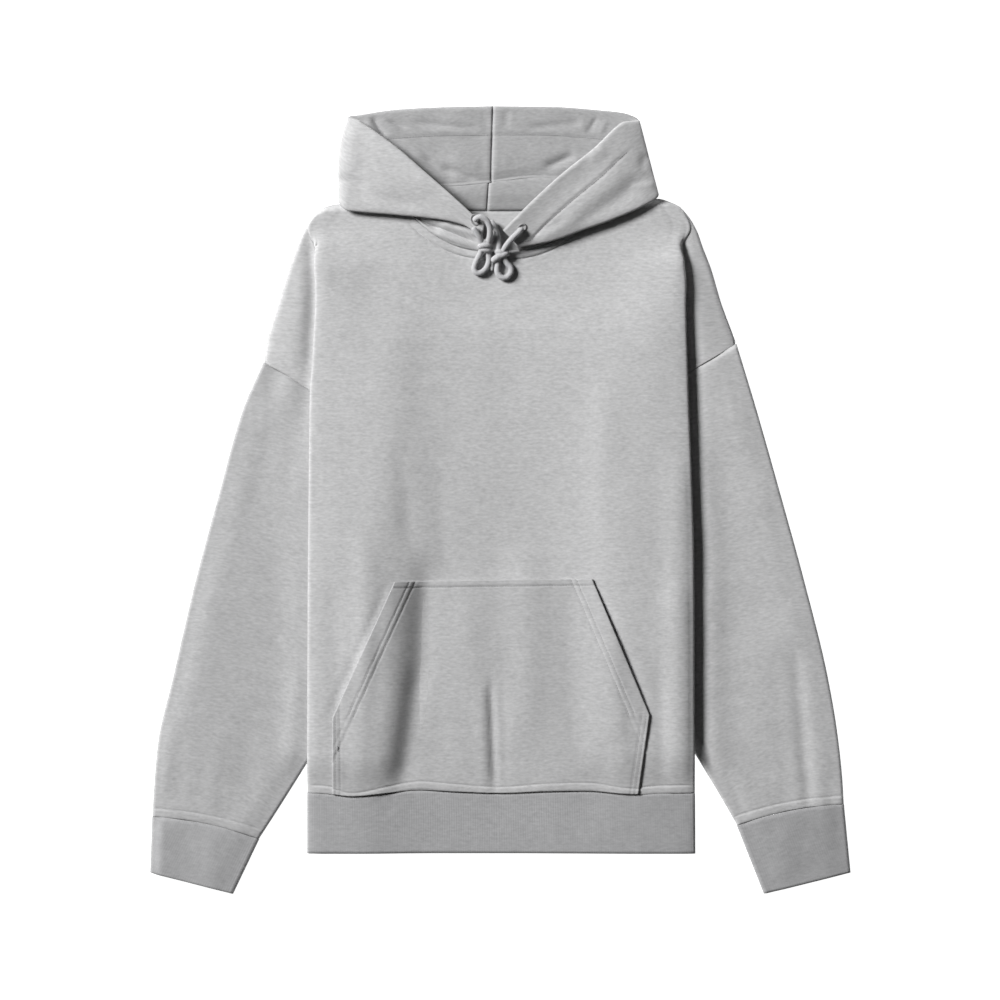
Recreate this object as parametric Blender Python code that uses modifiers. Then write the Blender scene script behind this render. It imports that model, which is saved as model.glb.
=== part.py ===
"""Pullover hoodie lying flat on its back, front up: fleece panels, ribbed cuffs and hem, hood, pocket, cords.

Every table is in millimetres. X runs across the garment, Y from the hem to the hood and Z up from the
surface it lies on. Left and right are the wearer's, so the left sleeve is at +X.
"""

import math
from collections import namedtuple

import bmesh
import bpy
import numpy as np
from mathutils import Matrix, Vector

MM = 0.001

# ---------------------------------------------------------------- driving sizes
FLEECE = 2.2  # wall of the body, sleeves and hood
RIB = 2.6  # wall of the hem and cuffs
POCKET_CLOTH = 1.8
SEAM_GAP = 0.3
ARMHOLE_GAP = 0.8
HIDDEN_GAP = 1.3  # half the gap at the side seam, inside the tuck
CORD = 5.6
CORD_STEP = 4.0
POCKET_LIFT = FLEECE / 2.0 + POCKET_CLOTH / 2.0 + 0.5
FLEECE_GREY = (0.47, 0.47, 0.48)
RIB_GREY = (0.33, 0.33, 0.34)
CORD_GREY = (0.5, 0.5, 0.51)
MIDDLE = (2.05, -0.3)  # middle of the outline in the tables, which becomes the origin
HEM_SEAM_Y = -309.5
HEM_Y = -373.8
ARMPIT_Y = -64.0

# Heights of the middle of each wall where six layers lie on each other at a tucked side
FLOOR = FLEECE / 2
LYING = RIB / 2
ROLL = 3.6  # step over a folded edge
SLEEVE_STEP = 3.4  # step between the two walls of the sleeve
PUFF = 8.2  # top of a sleeve or shoulder that lies alone
CENTRE = 7.0  # front panel along the middle
EDGE_LIFT = 3.9  # front panel over its own tuck
RIM = 2.6  # radius of the folded edge round the outline

# Sides of the body. outline is where the cloth ends in plan, edge the fold of the body over the sleeve,
# seam the side seam hidden in the tuck, sleeve how far the sleeve fills that tuck, fold how deep it lies.
Side = namedtuple("Side", "y outline edge seam sleeve fold")
SIDES = {
    "right": [
        Side(315.0, 165.0, 140.0, 158.0, 1.0, 0.0),
        Side(309.3, 187.0, 160.0, 178.0, 1.0, 0.0),
        Side(288.1, 203.9, 180.0, 192.0, 1.0, 0.0),
        Side(268.0, 212.5, 185.0, 198.0, 1.0, 0.35),
        Side(245.0, 221.0, 189.0, 200.0, 1.0, 0.8),
        Side(225.0, 227.5, 191.0, 185.0, 1.0, 1.0),
        Side(211.7, 231.5, 191.5, 168.0, 1.0, 1.0),
        Side(169.3, 244.5, 193.5, 141.0, 1.0, 1.0),
        Side(146.0, 248.5, 194.5, 132.0, 1.0, 1.0),
        Side(116.3, 262.0, 197.0, 125.0, 1.0, 1.0),
        Side(42.1, 285.6, 198.0, 117.0, 1.0, 1.0),
        Side(-64.0, 316.5, 199.0, 113.0, 1.0, 1.0),
        Side(-148.7, 336.0, 199.5, 112.0, 1.0, 1.0),
        Side(-212.3, 350.0, 199.7, 114.0, 1.0, 1.0),
        Side(-270.0, 360.5, 200.0, 120.0, 1.0, 1.0),
        Side(HEM_SEAM_Y, 365.0, 200.2, 124.0, 0.1, 1.0),
        Side(HEM_Y, 367.0, 200.2, 124.0, 0.0, 1.0),
    ],
    "left": [
        Side(319.0, 174.0, 148.0, 166.0, 1.0, 0.0),
        Side(309.3, 194.6, 170.0, 186.0, 1.0, 0.0),
        Side(288.1, 208.6, 190.0, 202.0, 1.0, 0.0),
        Side(268.0, 216.0, 196.0, 208.0, 1.0, 0.35),
        Side(245.0, 225.0, 199.0, 210.0, 1.0, 0.8),
        Side(225.0, 231.0, 197.5, 192.0, 1.0, 1.0),
        Side(211.7, 234.9, 196.0, 172.0, 1.0, 1.0),
        Side(165.1, 251.9, 197.2, 143.0, 1.0, 1.0),
        Side(138.6, 259.5, 198.0, 133.0, 1.0, 1.0),
        Side(105.7, 268.8, 199.0, 126.0, 1.0, 1.0),
        Side(42.1, 287.9, 201.5, 118.0, 1.0, 1.0),
        Side(-64.0, 319.0, 204.5, 114.0, 1.0, 1.0),
        Side(-148.7, 340.5, 205.0, 113.0, 1.0, 1.0),
        Side(-212.3, 353.0, 205.0, 116.0, 1.0, 1.0),
        Side(-265.0, 361.0, 205.4, 122.0, 1.0, 1.0),
        Side(HEM_SEAM_Y, 364.5, 205.8, 126.0, 0.1, 1.0),
        Side(HEM_Y, 366.0, 206.2, 126.0, 0.0, 1.0),
    ],
}
SIGN = {"right": -1.0, "left": 1.0}

# Shoulder line and neckline of the front, outward from the middle
TopLine = namedtuple("TopLine", "x y")
SHOULDER = {
    "right": [TopLine(101, 314.6), TopLine(150, 314.8), TopLine(170, 314.0), TopLine(187, 309.3),
              TopLine(194.4, 302.9), TopLine(198.6, 296.5), TopLine(203.9, 288.1)],
    "left": [TopLine(101, 314.6), TopLine(150, 318.5), TopLine(174, 319.5), TopLine(186, 314.6),
             TopLine(194.6, 309.3), TopLine(204.2, 296.5), TopLine(208.6, 288.1)],
}
NECK_HALF = 101.0
NECK_TOP = 314.6
FRONT_NECK_DROP = 51.0
BACK_NECK_DROP = 8.0

# Armhole seam from the shoulder point, on the outline, to the armpit hidden in the tuck
Armhole = namedtuple("Armhole", "x y")
ARMHOLE = {
    "right": [Armhole(248.5, 146.0), Armhole(246.5, 144.8), Armhole(243.0, 142.6), Armhole(229.4, 135.4),
              Armhole(211.4, 123.8), Armhole(197.6, 115.0), Armhole(168.0, 83.0), Armhole(136.0, 10.0),
              Armhole(118.5, ARMPIT_Y)],
    "left": [Armhole(251.9, 165.1), Armhole(249.9, 163.8), Armhole(246.4, 161.6), Armhole(229.6, 151.3),
             Armhole(211.0, 140.8), Armhole(197.0, 131.0), Armhole(167.0, 92.0), Armhole(137.0, 14.0),
             Armhole(119.5, ARMPIT_Y)],
}

# Sleeve below the armhole: both folded edges of each ring, and how far the ring bows toward the hem
SleeveRing = namedtuple("SleeveRing", "outer_x outer_y inner_x inner_y bow")
SLEEVES = {
    "right": [SleeveRing(270.5, 95.0, 119.0, -95.0, 26.0), SleeveRing(296.0, 5.0, 122.0, -150.0, 14.0),
              SleeveRing(321.0, -88.0, 142.0, -190.0, 6.0), SleeveRing(345.0, -191.0, 171.0, -226.0, 3.0),
              SleeveRing(359.8, -254.7, 203.0, -277.0, 3.0), SleeveRing(364.6, -308.0, 237.0, -331.0, 4.0),
              SleeveRing(366.1, -335.2, 254.8, -358.5, 4.5)],
    "left": [SleeveRing(273.0, 95.0, 120.0, -95.0, 26.0), SleeveRing(298.5, 5.0, 127.0, -150.0, 14.0),
             SleeveRing(324.0, -88.0, 148.0, -190.0, 6.0), SleeveRing(348.0, -186.0, 177.0, -221.0, 3.0),
             SleeveRing(358.9, -250.0, 209.0, -268.0, 3.0), SleeveRing(363.8, -296.0, 239.0, -318.0, 4.0),
             SleeveRing(365.3, -322.1, 254.0, -344.2, 4.5)],
}
Cuff = namedtuple("Cuff", "outer_x outer_y inner_x inner_y")
CUFF_END = {"right": Cuff(368.2, -394.6, 282.4, -416.8), "left": Cuff(372.3, -394.6, 282.6, -416.8)}

# Front pouch pocket in plan, round its outline
PocketCorner = namedtuple("PocketCorner", "x y")
POCKET = [PocketCorner(-110.2, -86.0), PocketCorner(98.2, -83.0), PocketCorner(159.5, -227.0),
          PocketCorner(148.0, -308.6), PocketCorner(-175.3, -308.6), PocketCorner(-175.3, -229.2)]

# Hood sections from the centre seam, out over the back wall, round the outline and in along the front wall.
# neck_x is where the section leaves the neckline, neck_z its height there, and front how far that is the
# front neckline. fold is the rolled edge over it, rim the edge of the face opening, bulge how far the section
# swells outward between them and reach how far the cloth runs on under the fold. base, middle and top are
# heights over the fold, and rim_z is the height at the rim.
Hood = namedtuple("Hood", "neck_x neck_z front fold_x fold_y rim_x rim_y bulge reach base middle top rim_z")
HOOD = {
    "right": [
        Hood(9.0, 1.1, 0.0, 14.5, 337.0, -1.7, 416.8, 0.0, 56.0, 1.1, 4.7, 8.3, 9.0),
        Hood(50.0, 1.1, 0.0, 60.0, 337.0, 51.3, 416.0, 0.0, 52.0, 1.1, 4.7, 8.3, 9.0),
        Hood(84.0, 1.1, 0.0, 108.0, 336.0, 104.3, 413.5, 0.0, 40.0, 1.1, 4.7, 8.3, 9.0),
        Hood(97.0, 1.3, 0.0, 150.0, 333.0, 146.0, 407.5, 2.0, 14.0, 1.6, 5.2, 8.8, 10.0),
        Hood(101.5, 8.0, 0.5, 168.0, 320.0, 158.0, 405.5, 5.0, 0.0, 10.6, 11.2, 12.8, 13.5),
        Hood(99.0, 11.4, 1.0, 161.0, 309.8, 148.0, 401.0, 3.0, 0.0, 12.2, 14.8, 17.4, 18.5),
        Hood(88.0, 10.6, 1.0, 110.0, 304.3, 110.0, 374.0, 0.0, 16.0, 11.6, 15.2, 18.8, 23.0),
        Hood(62.0, 8.6, 1.0, 66.0, 299.8, 72.0, 341.0, 0.0, 15.0, 11.6, 15.2, 18.8, 25.0),
        Hood(35.0, 8.2, 1.0, 37.0, 293.5, 42.0, 315.0, 0.0, 9.0, 11.5, 15.1, 18.7, 25.0),
        Hood(14.0, 8.2, 1.0, 17.0, 279.5, 14.5, 289.5, 0.0, 2.0, 11.0, 14.6, 18.2, 22.0),
    ],
    "left": [
        Hood(-9.0, 1.1, 0.0, -14.5, 337.0, 1.7, 416.8, 0.0, 56.0, 1.1, 4.7, 8.3, 9.0),
        Hood(40.0, 1.1, 0.0, 40.0, 337.0, 54.7, 416.2, 0.0, 52.0, 1.1, 4.7, 8.3, 9.0),
        Hood(82.0, 1.1, 0.0, 98.0, 336.0, 102.0, 413.0, 0.0, 40.0, 1.1, 4.7, 8.3, 9.0),
        Hood(97.0, 1.3, 0.0, 138.0, 336.0, 134.0, 409.0, 2.0, 14.0, 1.6, 5.2, 8.8, 10.0),
        Hood(101.5, 8.0, 0.5, 168.0, 325.0, 148.0, 402.0, 0.0, 0.0, 10.6, 11.2, 12.8, 13.5),
        Hood(99.0, 11.4, 1.0, 152.0, 313.4, 132.0, 399.0, 3.0, 0.0, 12.2, 14.8, 17.4, 18.5),
        Hood(90.0, 10.6, 1.0, 121.0, 299.5, 100.0, 370.0, 0.0, 14.0, 11.6, 15.2, 18.8, 24.0),
        Hood(77.0, 10.2, 1.0, 90.0, 288.5, 68.0, 344.5, 0.0, 14.0, 11.6, 15.2, 18.8, 26.0),
        Hood(52.0, 8.6, 1.0, 52.0, 275.5, 36.0, 315.5, 0.0, 12.0, 11.6, 15.2, 18.8, 26.0),
        Hood(22.0, 8.2, 1.0, 20.0, 269.5, 4.5, 284.5, 0.0, 6.0, 11.2, 14.8, 18.4, 24.0),
    ],
}
HOOD_ROWS = 22
HOOD_COLUMNS = (0, 0.6, 1.3, 2, 2.7, 3.5, 4.3, 5, 6, 6.7, 7.5, 8.3, 9, 9.7, 10.5, 11.3, 12)
NECK_GAP = 1.2
CENTRE_GAP = 0.25

# Drawcords: free runs between the eyelets, the two knots and the loops below them, with their heights
CordPoint = namedtuple("CordPoint", "x y z")
CORDS = {
    "cord_right": [
        CordPoint(-22.2, 295.8, 27.6), CordPoint(-19.5, 297.3, 28.2), CordPoint(-12.6, 294.4, 27.5),
        CordPoint(-8.4, 287.5, 26.0), CordPoint(-8.9, 281.7, 24.0), CordPoint(-11.2, 277.0, 21.6),
    ],
    "cord_right_tail": [
        CordPoint(-19.3, 275.2, 21.4), CordPoint(-22.2, 279.6, 23.6), CordPoint(-25.9, 284.9, 24.8),
        CordPoint(-28.0, 290.2, 25.2),
    ],
    "cord_right_loop": [
        CordPoint(-12.2, 263.0, 14.0), CordPoint(-11.6, 254.1, 11.4), CordPoint(-15.3, 245.6, 11.4),
        CordPoint(-20.6, 240.3, 11.4), CordPoint(-25.4, 240.8, 11.4), CordPoint(-26.6, 245.6, 11.4),
        CordPoint(-23.4, 253.6, 11.4), CordPoint(-18.4, 262.0, 14.0),
    ],
    "cord_left": [
        CordPoint(24.5, 283.8, 27.4), CordPoint(17.6, 278.0, 26.0), CordPoint(11.2, 271.6, 22.0),
        CordPoint(6.0, 264.8, 17.0),
    ],
    "cord_left_tail": [
        CordPoint(-1.4, 265.2, 14.6), CordPoint(-0.6, 275.3, 13.5), CordPoint(-1.5, 285.9, 11.0),
        CordPoint(-3.6, 293.4, 8.2), CordPoint(-7.8, 297.6, 6.6),
    ],
    "cord_left_loop": [
        CordPoint(-1.0, 249.6, 11.4), CordPoint(-1.4, 241.0, 11.4), CordPoint(3.4, 235.6, 11.4),
        CordPoint(9.6, 236.2, 11.4), CordPoint(13.2, 241.6, 11.4), CordPoint(10.6, 248.8, 11.4),
    ],
}
Knot = namedtuple("Knot", "x y z length width height turn")
KNOTS = {
    "knot_right": Knot(-14.4, 269.2, 17.4, 11.0, 9.0, 8.6, 20.0),
    "knot_left": Knot(1.8, 257.6, 13.2, 15.0, 8.8, 8.8, 12.0),
}


# ---------------------------------------------------------------- helpers
def smooth(value, low, high):
    t = np.clip((value - low) / (high - low), 0.0, 1.0)
    return t * t * (3.0 - 2.0 * t)


def mix(a, b, t):
    return a + (b - a) * t


def curve(xs, ys, at):
    """Smooth monotone curve through points, level past its ends."""
    xs, ys = np.array(xs, dtype=float), np.array(ys, dtype=float)
    step = np.diff(ys) / np.diff(xs)
    slope = np.concatenate([[step[0]], np.zeros(len(xs) - 2), [step[-1]]])
    for k in range(1, len(xs) - 1):
        if step[k - 1] * step[k] > 0:
            slope[k] = 2.0 * step[k - 1] * step[k] / (step[k - 1] + step[k])
    at = np.clip(at, xs[0], xs[-1])
    k = np.clip(np.searchsorted(xs, at) - 1, 0, len(xs) - 2)
    h = xs[k + 1] - xs[k]
    t = (at - xs[k]) / h
    return (
        ys[k] * (1 + 2 * t) * (1 - t) ** 2
        + ys[k + 1] * t * t * (3 - 2 * t)
        + slope[k] * h * t * (1 - t) ** 2
        - slope[k + 1] * h * t * t * (1 - t)
    )


def through(rows, along, value, at):
    """Smooth curve of one column of a table against another, whose values may run down or up."""
    order = rows if getattr(rows[0], along) < getattr(rows[-1], along) else rows[::-1]
    return curve([getattr(r, along) for r in order], [getattr(r, value) for r in order], at)


def spline(points, per_span=6):
    """Cubic B-spline with its ends on the first and last control points. Returns points and their spans."""
    p = np.array(points, dtype=float)
    p = np.vstack([2 * p[0] - p[1], p, 2 * p[-1] - p[-2]])
    out, at = [], []
    for k in range(len(p) - 3):
        for i in range(per_span + (k == len(p) - 4)):
            t = i / per_span
            w = np.array([(1 - t) ** 3, 3 * t**3 - 6 * t**2 + 4, -3 * t**3 + 3 * t**2 + 3 * t + 1, t**3])
            out.append(w @ p[k:k + 4] / 6.0)
            at.append(k + t)
    return np.array(out), np.array(at)


def make_material(name, colour, roughness):
    material = bpy.data.materials.new(name)
    material.use_nodes = True
    shader = material.node_tree.nodes["Principled BSDF"]
    shader.inputs["Base Color"].default_value = (*colour, 1.0)
    shader.inputs["Roughness"].default_value = roughness
    shader.inputs["Metallic"].default_value = 0.0
    return material


def place(name, data, material):
    piece = bpy.data.objects.new(name, data)
    piece.data.materials.append(material)
    bpy.data.collections["Pullover hoodie"].objects.link(piece)
    return piece


def grid_mesh(name, grid, closed=False):
    """Triangles over a grid of points. closed joins the two ends of each row. Points of NaN are left out."""
    rows, columns = grid.shape[:2]
    there = ~np.isnan(grid[:, :, 0])
    number = (np.cumsum(there.reshape(-1)).reshape(rows, columns) - 1).tolist()
    faces = []
    for j in range(rows - 1):
        for i in range(columns if closed else columns - 1):
            n = (i + 1) % columns
            corners = ((j, i), (j, n), (j + 1, n), (j + 1, i))
            if all(there[c] for c in corners):
                a, b, c, d = (number[row][column] for row, column in corners)
                faces += [(a, b, c), (a, c, d)]
    mesh = bpy.data.meshes.new(name)
    mesh.from_pydata((grid[there] * MM).tolist(), [], faces)
    mesh.shade_smooth()
    return mesh


def cloth(name, mesh, wall, material, pressed=()):
    """A wall of cloth whose middle is the mesh. Vertices in pressed get half the wall, as in a sharp fold."""
    piece = place(name, mesh, material)
    full = piece.vertex_groups.new(name="Full wall")
    full.add([v.index for v in mesh.vertices if v.index not in pressed], 1.0, "REPLACE")
    shell = piece.modifiers.new("Wall", "SOLIDIFY")
    shell.thickness = wall * MM
    shell.offset = 0.0
    shell.vertex_group = "Full wall"
    shell.thickness_vertex_group = 0.5
    return piece


# ---------------------------------------------------------------- heights shared by the layers
def inside(side, x, y):
    """One over the tucked side of the body, zero out on the surface beside it."""
    edge = through(SIDES[side], "y", "edge", y)
    return 1.0 - smooth(x, edge + 1.0, edge + 22.0)


def rim_rise(side, x, y):
    """How far the wall has risen over the rolled edge at the outline, up to its radius."""
    inset = min(max(through(SIDES[side], "y", "outline", y) - x, 0.0), RIM)
    return math.sqrt(max(RIM**2 - (RIM - inset) ** 2, 0.0))


def upper_height(side, x, y):
    """Middle of the top wall of a shoulder or sleeve, at x outward from the middle of the garment."""
    fold = through(SIDES[side], "y", "fold", y)
    tucked = mix(PUFF, FLOOR + 2 * ROLL + SLEEVE_STEP, fold)
    inset = through(SIDES[side], "y", "outline", y) - x
    puffed = FLOOR + RIM + rim_rise(side, x, y) + (PUFF - FLOOR - 2 * RIM) * smooth(inset, RIM, 26.0)
    return mix(puffed, tucked, inside(side, x, y))


def lower_height(side, x, y):
    """Middle of the bottom wall of a shoulder or sleeve."""
    return FLOOR + 2 * ROLL * through(SIDES[side], "y", "fold", y) * inside(side, x, y)


def tuck_heights(side, y):
    """Heights at a side of the body: back tuck, front tuck and front panel over it."""
    fold = through(SIDES[side], "y", "fold", y)
    sleeve = through(SIDES[side], "y", "sleeve", y)
    back_tuck = FLOOR + ROLL * fold
    front_tuck = mix(PUFF, back_tuck + ROLL + (ROLL + SLEEVE_STEP) * sleeve, fold)
    return back_tuck, front_tuck, front_tuck + EDGE_LIFT * fold


def front_height(x, y):
    """Middle of the front panel: level along the middle, rising over the tucked sides."""
    side = "left" if x > 0 else "right"
    seam = through(SIDES[side], "y", "seam", y)
    edge = min(through(SIDES[side], "y", "edge", y), seam + 85.0)
    top = tuck_heights(side, y)[2]
    rise = smooth(abs(x), min(seam, edge) - 72.0, min(seam, edge) - 4.0)
    return mix(CENTRE, top, rise)


# ---------------------------------------------------------------- body sections
ACROSS = 7  # columns from the middle to a side fold
TURN = 4  # columns round a fold
UNDER = 2  # columns along the tuck
SLOPE = 2  # columns from the hidden fold out to the edge of the body
OUT = 3  # columns from there to the outline
COLUMNS = ACROSS + 2 * TURN + UNDER + SLOPE + OUT + 1
LEAST = 2.2  # shortest step between two columns
BACK_INSET = 12.0  # the back panel's folds lie this far in from the front's
PRESSED = range(ACROSS + 1, ACROSS + 2 * TURN + UNDER)  # columns pressed thin inside the tuck


def section_end(side, y):
    """Where a row of a panel ends: on the outline above the shoulder point, on the armhole seam below it."""
    if y > ARMHOLE[side][0].y:
        return through(SIDES[side], "y", "outline", y)
    return through(ARMHOLE[side], "y", "x", y)


def section(side, y, front, attached):
    """Control points of half a row of a panel, from the middle to its edge, as (x outward, z).

    attached rows run on from the hidden fold to the outline or the armhole. The others end at the side seam.
    """
    edge = through(SIDES[side], "y", "edge", y) - (0.0 if front else BACK_INSET * smooth(-y, -288.0, -225.0))
    seam = through(SIDES[side], "y", "seam", y)
    back_tuck, front_tuck, front_top = tuck_heights(side, y)
    overlap = edge - seam
    turned = smooth(overlap, -6.0, 8.0)
    height = upper_height if front else lower_height
    first, second = (front_top, front_tuck) if front else (FLOOR, back_tuck)
    third = height(side, seam, y)
    bulge = 1.4 * turned
    half_back = min(overlap / 2.0, 8.0)
    droop = 0.8 if front else 0.0
    points = []
    for k in range(ACROSS):
        x = (edge - 12.0) * k / (ACROSS - 1)
        points.append((x, front_height(SIGN[side] * x, y) if front else FLOOR))
    points += [
        (edge - 6.0, first - 0.3 * droop),
        (edge - 1.0, first - droop),
        (edge + bulge, mix(first, second, 0.35)),
        (edge + bulge, mix(first, second, 0.8)),
        (mix(edge + 0.8, edge - 1.5, turned), second),
        (edge - half_back, second),
        (seam + half_back, second),
    ]
    if not attached:
        turn_in = max((front_tuck - back_tuck) / 2.0 - HIDDEN_GAP, 0.4)
        down = -turn_in if front else turn_in
        return points + [(seam, second), (seam - 0.7 * turn_in, second + 0.15 * down),
                         (seam - turn_in, second + 0.5 * down), (seam - turn_in, second + down)]
    points += [
        (mix(seam - 0.8, seam + 1.0, turned), second),
        (seam - 2.0 * turned, mix(second, third, 0.15)),
        (seam - 2.0 * turned, mix(second, third, 0.85)),
        (mix(seam + 0.8, seam + 1.0, turned), third),
    ]
    end = section_end(side, y)
    stops = [mix(seam, max(min(edge, end), seam), t) for t in (0.5, 1.0)]
    stops += [mix(stops[-1], max(end, stops[-1]), t) for t in (0.12, 0.3, 0.55, 0.8, 0.94, 1.0)]
    return points + [(x, height(side, x, y)) for x in stops]


def section_row(side, y, front, attached=True):
    """The points of half a row, shared out so that each fold keeps its own columns."""
    curve, spans = spline(section(side, y, front, attached))
    run = np.concatenate([[0.0], np.cumsum(np.linalg.norm(np.diff(curve, axis=0), axis=1))])
    roll, tuck, turn, slope = (ACROSS + k for k in (4.4, 6.2, 10.4, 11.8))
    if attached:
        stops = [0, ACROSS, roll, tuck, turn, slope, spans[-1]]
        counts = [ACROSS, TURN, UNDER, TURN, SLOPE, OUT]
        least = np.array([LEAST, LEAST, LEAST, LEAST, 0.5, 0.5])
    else:
        stops = [0, ACROSS, roll, tuck, spans[-1]]
        counts = [ACROSS, TURN, UNDER, TURN // 2]
        least = np.array([LEAST, LEAST, LEAST, LEAST])
    lengths = np.diff(np.interp(stops, spans, run))
    if attached:
        last = lengths[4] + lengths[5]
        lengths[4] = min(lengths[4], last * SLOPE / (SLOPE + OUT))
        lengths[5] = last - lengths[4]
    wanted = np.maximum(lengths, least * counts)
    wanted[0] = lengths[0] - (wanted[1] - lengths[1])
    wanted[2] += run[-1] - wanted.sum()
    if wanted[2] < LEAST * UNDER:
        wanted[0] -= LEAST * UNDER - wanted[2]
        wanted[2] = LEAST * UNDER
    places = [0.0]
    for length, count in zip(wanted, counts):
        places += [places[-1] + length / count * (i + 1) for i in range(count)]
    places[-1] = run[-1]
    row = np.full((COLUMNS, 2), np.nan)
    for k in range(2):
        row[:len(places), k] = np.interp(places, run, curve[:, k])
    return row


def top_line(side, x, front):
    """Upper edge of the front or back panel at x outward from the middle."""
    if x < NECK_HALF:
        drop = FRONT_NECK_DROP if front else BACK_NECK_DROP
        power = 2.6 if front else 3.0
        return NECK_TOP - drop * (1.0 - (x / NECK_HALF) ** power)
    return through(SHOULDER[side], "x", "y", x)


def row_heights(side):
    """Y of each row at the outline: down the shoulder, along the armhole, down the side seam."""
    start = SHOULDER[side][-1].y
    shoulder_end = ARMHOLE[side][0].y
    shoulder = [mix(start, shoulder_end, t) for t in (0.0, 0.3, 0.65)]
    armhole = [a.y for a in ARMHOLE[side]]
    sides = [mix(ARMPIT_Y, HEM_SEAM_Y + SEAM_GAP / 2.0, t) for t in (0.22, 0.42, 0.6, 0.8, 1.0)]
    return shoulder + armhole + sides


def panel(front):
    """Grid of points of the whole front or back panel, from right to left, top to hem."""
    halves = {}
    for side, other in (("right", "left"), ("left", "right")):
        rows, mate = row_heights(side), row_heights(other)
        start = rows[0]
        armpit = rows.index(ARMPIT_Y)
        grid = np.zeros((len(rows), COLUMNS, 3))
        for i in range(COLUMNS):
            top = start
            for _ in range(6):
                x = section_row(side, min(top, NECK_TOP), front)[i][0]
                top = top_line(side, x, front)
            if i == COLUMNS - 1:
                top = start
            own = 0.5 + 0.5 * min(i / (ACROSS + TURN), 1.0)
            for j in range(len(rows)):
                level = mix(mate[j], rows[j], own)
                drop = (start - level) / (start - ARMPIT_Y)
                y = level + (top - start) * max(1.0 - drop, 0.0) ** 2
                x, z = section_row(side, y, front, j <= armpit)[i]
                if front and j == 0:
                    z = mix(z, min(z, FLOOR + RIM), smooth(x, NECK_HALF - 8.0, NECK_HALF + 10.0))
                grid[j, i] = (SIGN[side] * x, y, z)
        halves[side] = grid
    return np.concatenate([halves["right"][:, ::-1], halves["left"][:, 1:]], axis=1)


def pressed_vertices(grid):
    """Vertices of a panel that lie in its tucks and on their hidden folds."""
    middle = COLUMNS - 1
    columns = {middle - c for c in PRESSED} | {middle + c for c in PRESSED}
    there = ~np.isnan(grid[:, :, 0])
    number = np.cumsum(there.reshape(-1)).reshape(there.shape) - 1
    return {int(number[j, i]) for j in range(len(grid)) for i in columns if there[j, i]}


def pocket(front_grid):
    """Pouch pocket: the front's own surface inside the pocket's outline, moved out clear of the front."""
    top_layer = front_grid[:, COLUMNS - 1 - ACROSS:COLUMNS + ACROSS]
    mesh = grid_mesh("pocket", top_layer + (0.0, 0.0, POCKET_LIFT))
    work = bmesh.new()
    work.from_mesh(mesh)
    for k, corner in enumerate(POCKET):
        after = POCKET[(k + 1) % len(POCKET)]
        outward = Vector((corner.y - after.y, after.x - corner.x, 0.0))
        bmesh.ops.bisect_plane(
            work, geom=work.verts[:] + work.edges[:] + work.faces[:], dist=1e-7,
            plane_co=Vector((corner.x, corner.y, 0.0)) * MM, plane_no=outward, clear_outer=True,
        )
    bmesh.ops.dissolve_degenerate(work, edges=work.edges[:], dist=1e-4)
    bmesh.ops.triangulate(work, faces=work.faces[:])
    work.to_mesh(mesh)
    work.free()
    mesh.shade_smooth()
    return mesh


FIRST_FOLD = (0.0, 0.25, 1.0)  # steps in from the outer fold, in radii
LAST_FOLD = (1.0, 0.6, 0.25, 0.0)  # steps out to the inner fold
INNER_STEPS = 5


def lying_heights(side, x, y, inset):
    """Middle heights of both walls of a flattened tube, drawn together round its folds."""
    edge = through(SIDES[side], "y", "edge", y)
    over_body = (1.0 - smooth(x, edge + 1.0, edge + 24.0)) * (1.0 - smooth(-y, 262.0, 292.0))
    base = LYING + 2 * ROLL * over_body
    narrow = mix(2 * RIM, SLEEVE_STEP, over_body)
    full = mix(PUFF - LYING, SLEEVE_STEP, over_body)
    if inset < RIM:
        half = math.sqrt(max(RIM**2 - (RIM - inset) ** 2, 0.0)) / RIM * narrow / 2.0
        return base + narrow / 2.0 + half, base + narrow / 2.0 - half
    return base + mix(narrow, full, smooth(inset, RIM, 26.0)), base


def tube_ring(side, outer, inner, bow):
    """A ring of a flattened tube: outer fold, over the top, inner fold, back underneath."""
    outer, inner = np.array(outer), np.array(inner)
    width = np.linalg.norm(inner - outer)
    along = (inner - outer) / width
    across = np.array([-along[1], along[0]]) * (1.0 if along[0] > 0 else -1.0)
    steps = [RIM * f for f in FIRST_FOLD]
    steps += [mix(RIM, width - RIM, (k + 1) / (INNER_STEPS + 1)) for k in range(INNER_STEPS)]
    steps += [width - RIM * f for f in LAST_FOLD]
    over, under = [], []
    for step in steps:
        t = step / width
        x, y = outer + along * step + across * bow * 4.0 * t * (1.0 - t)
        high, low = lying_heights(side, x, y, min(step, width - step))
        over.append((SIGN[side] * x, y, high))
        under.append((SIGN[side] * x, y, low))
    return over + under[-2:0:-1]


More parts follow.
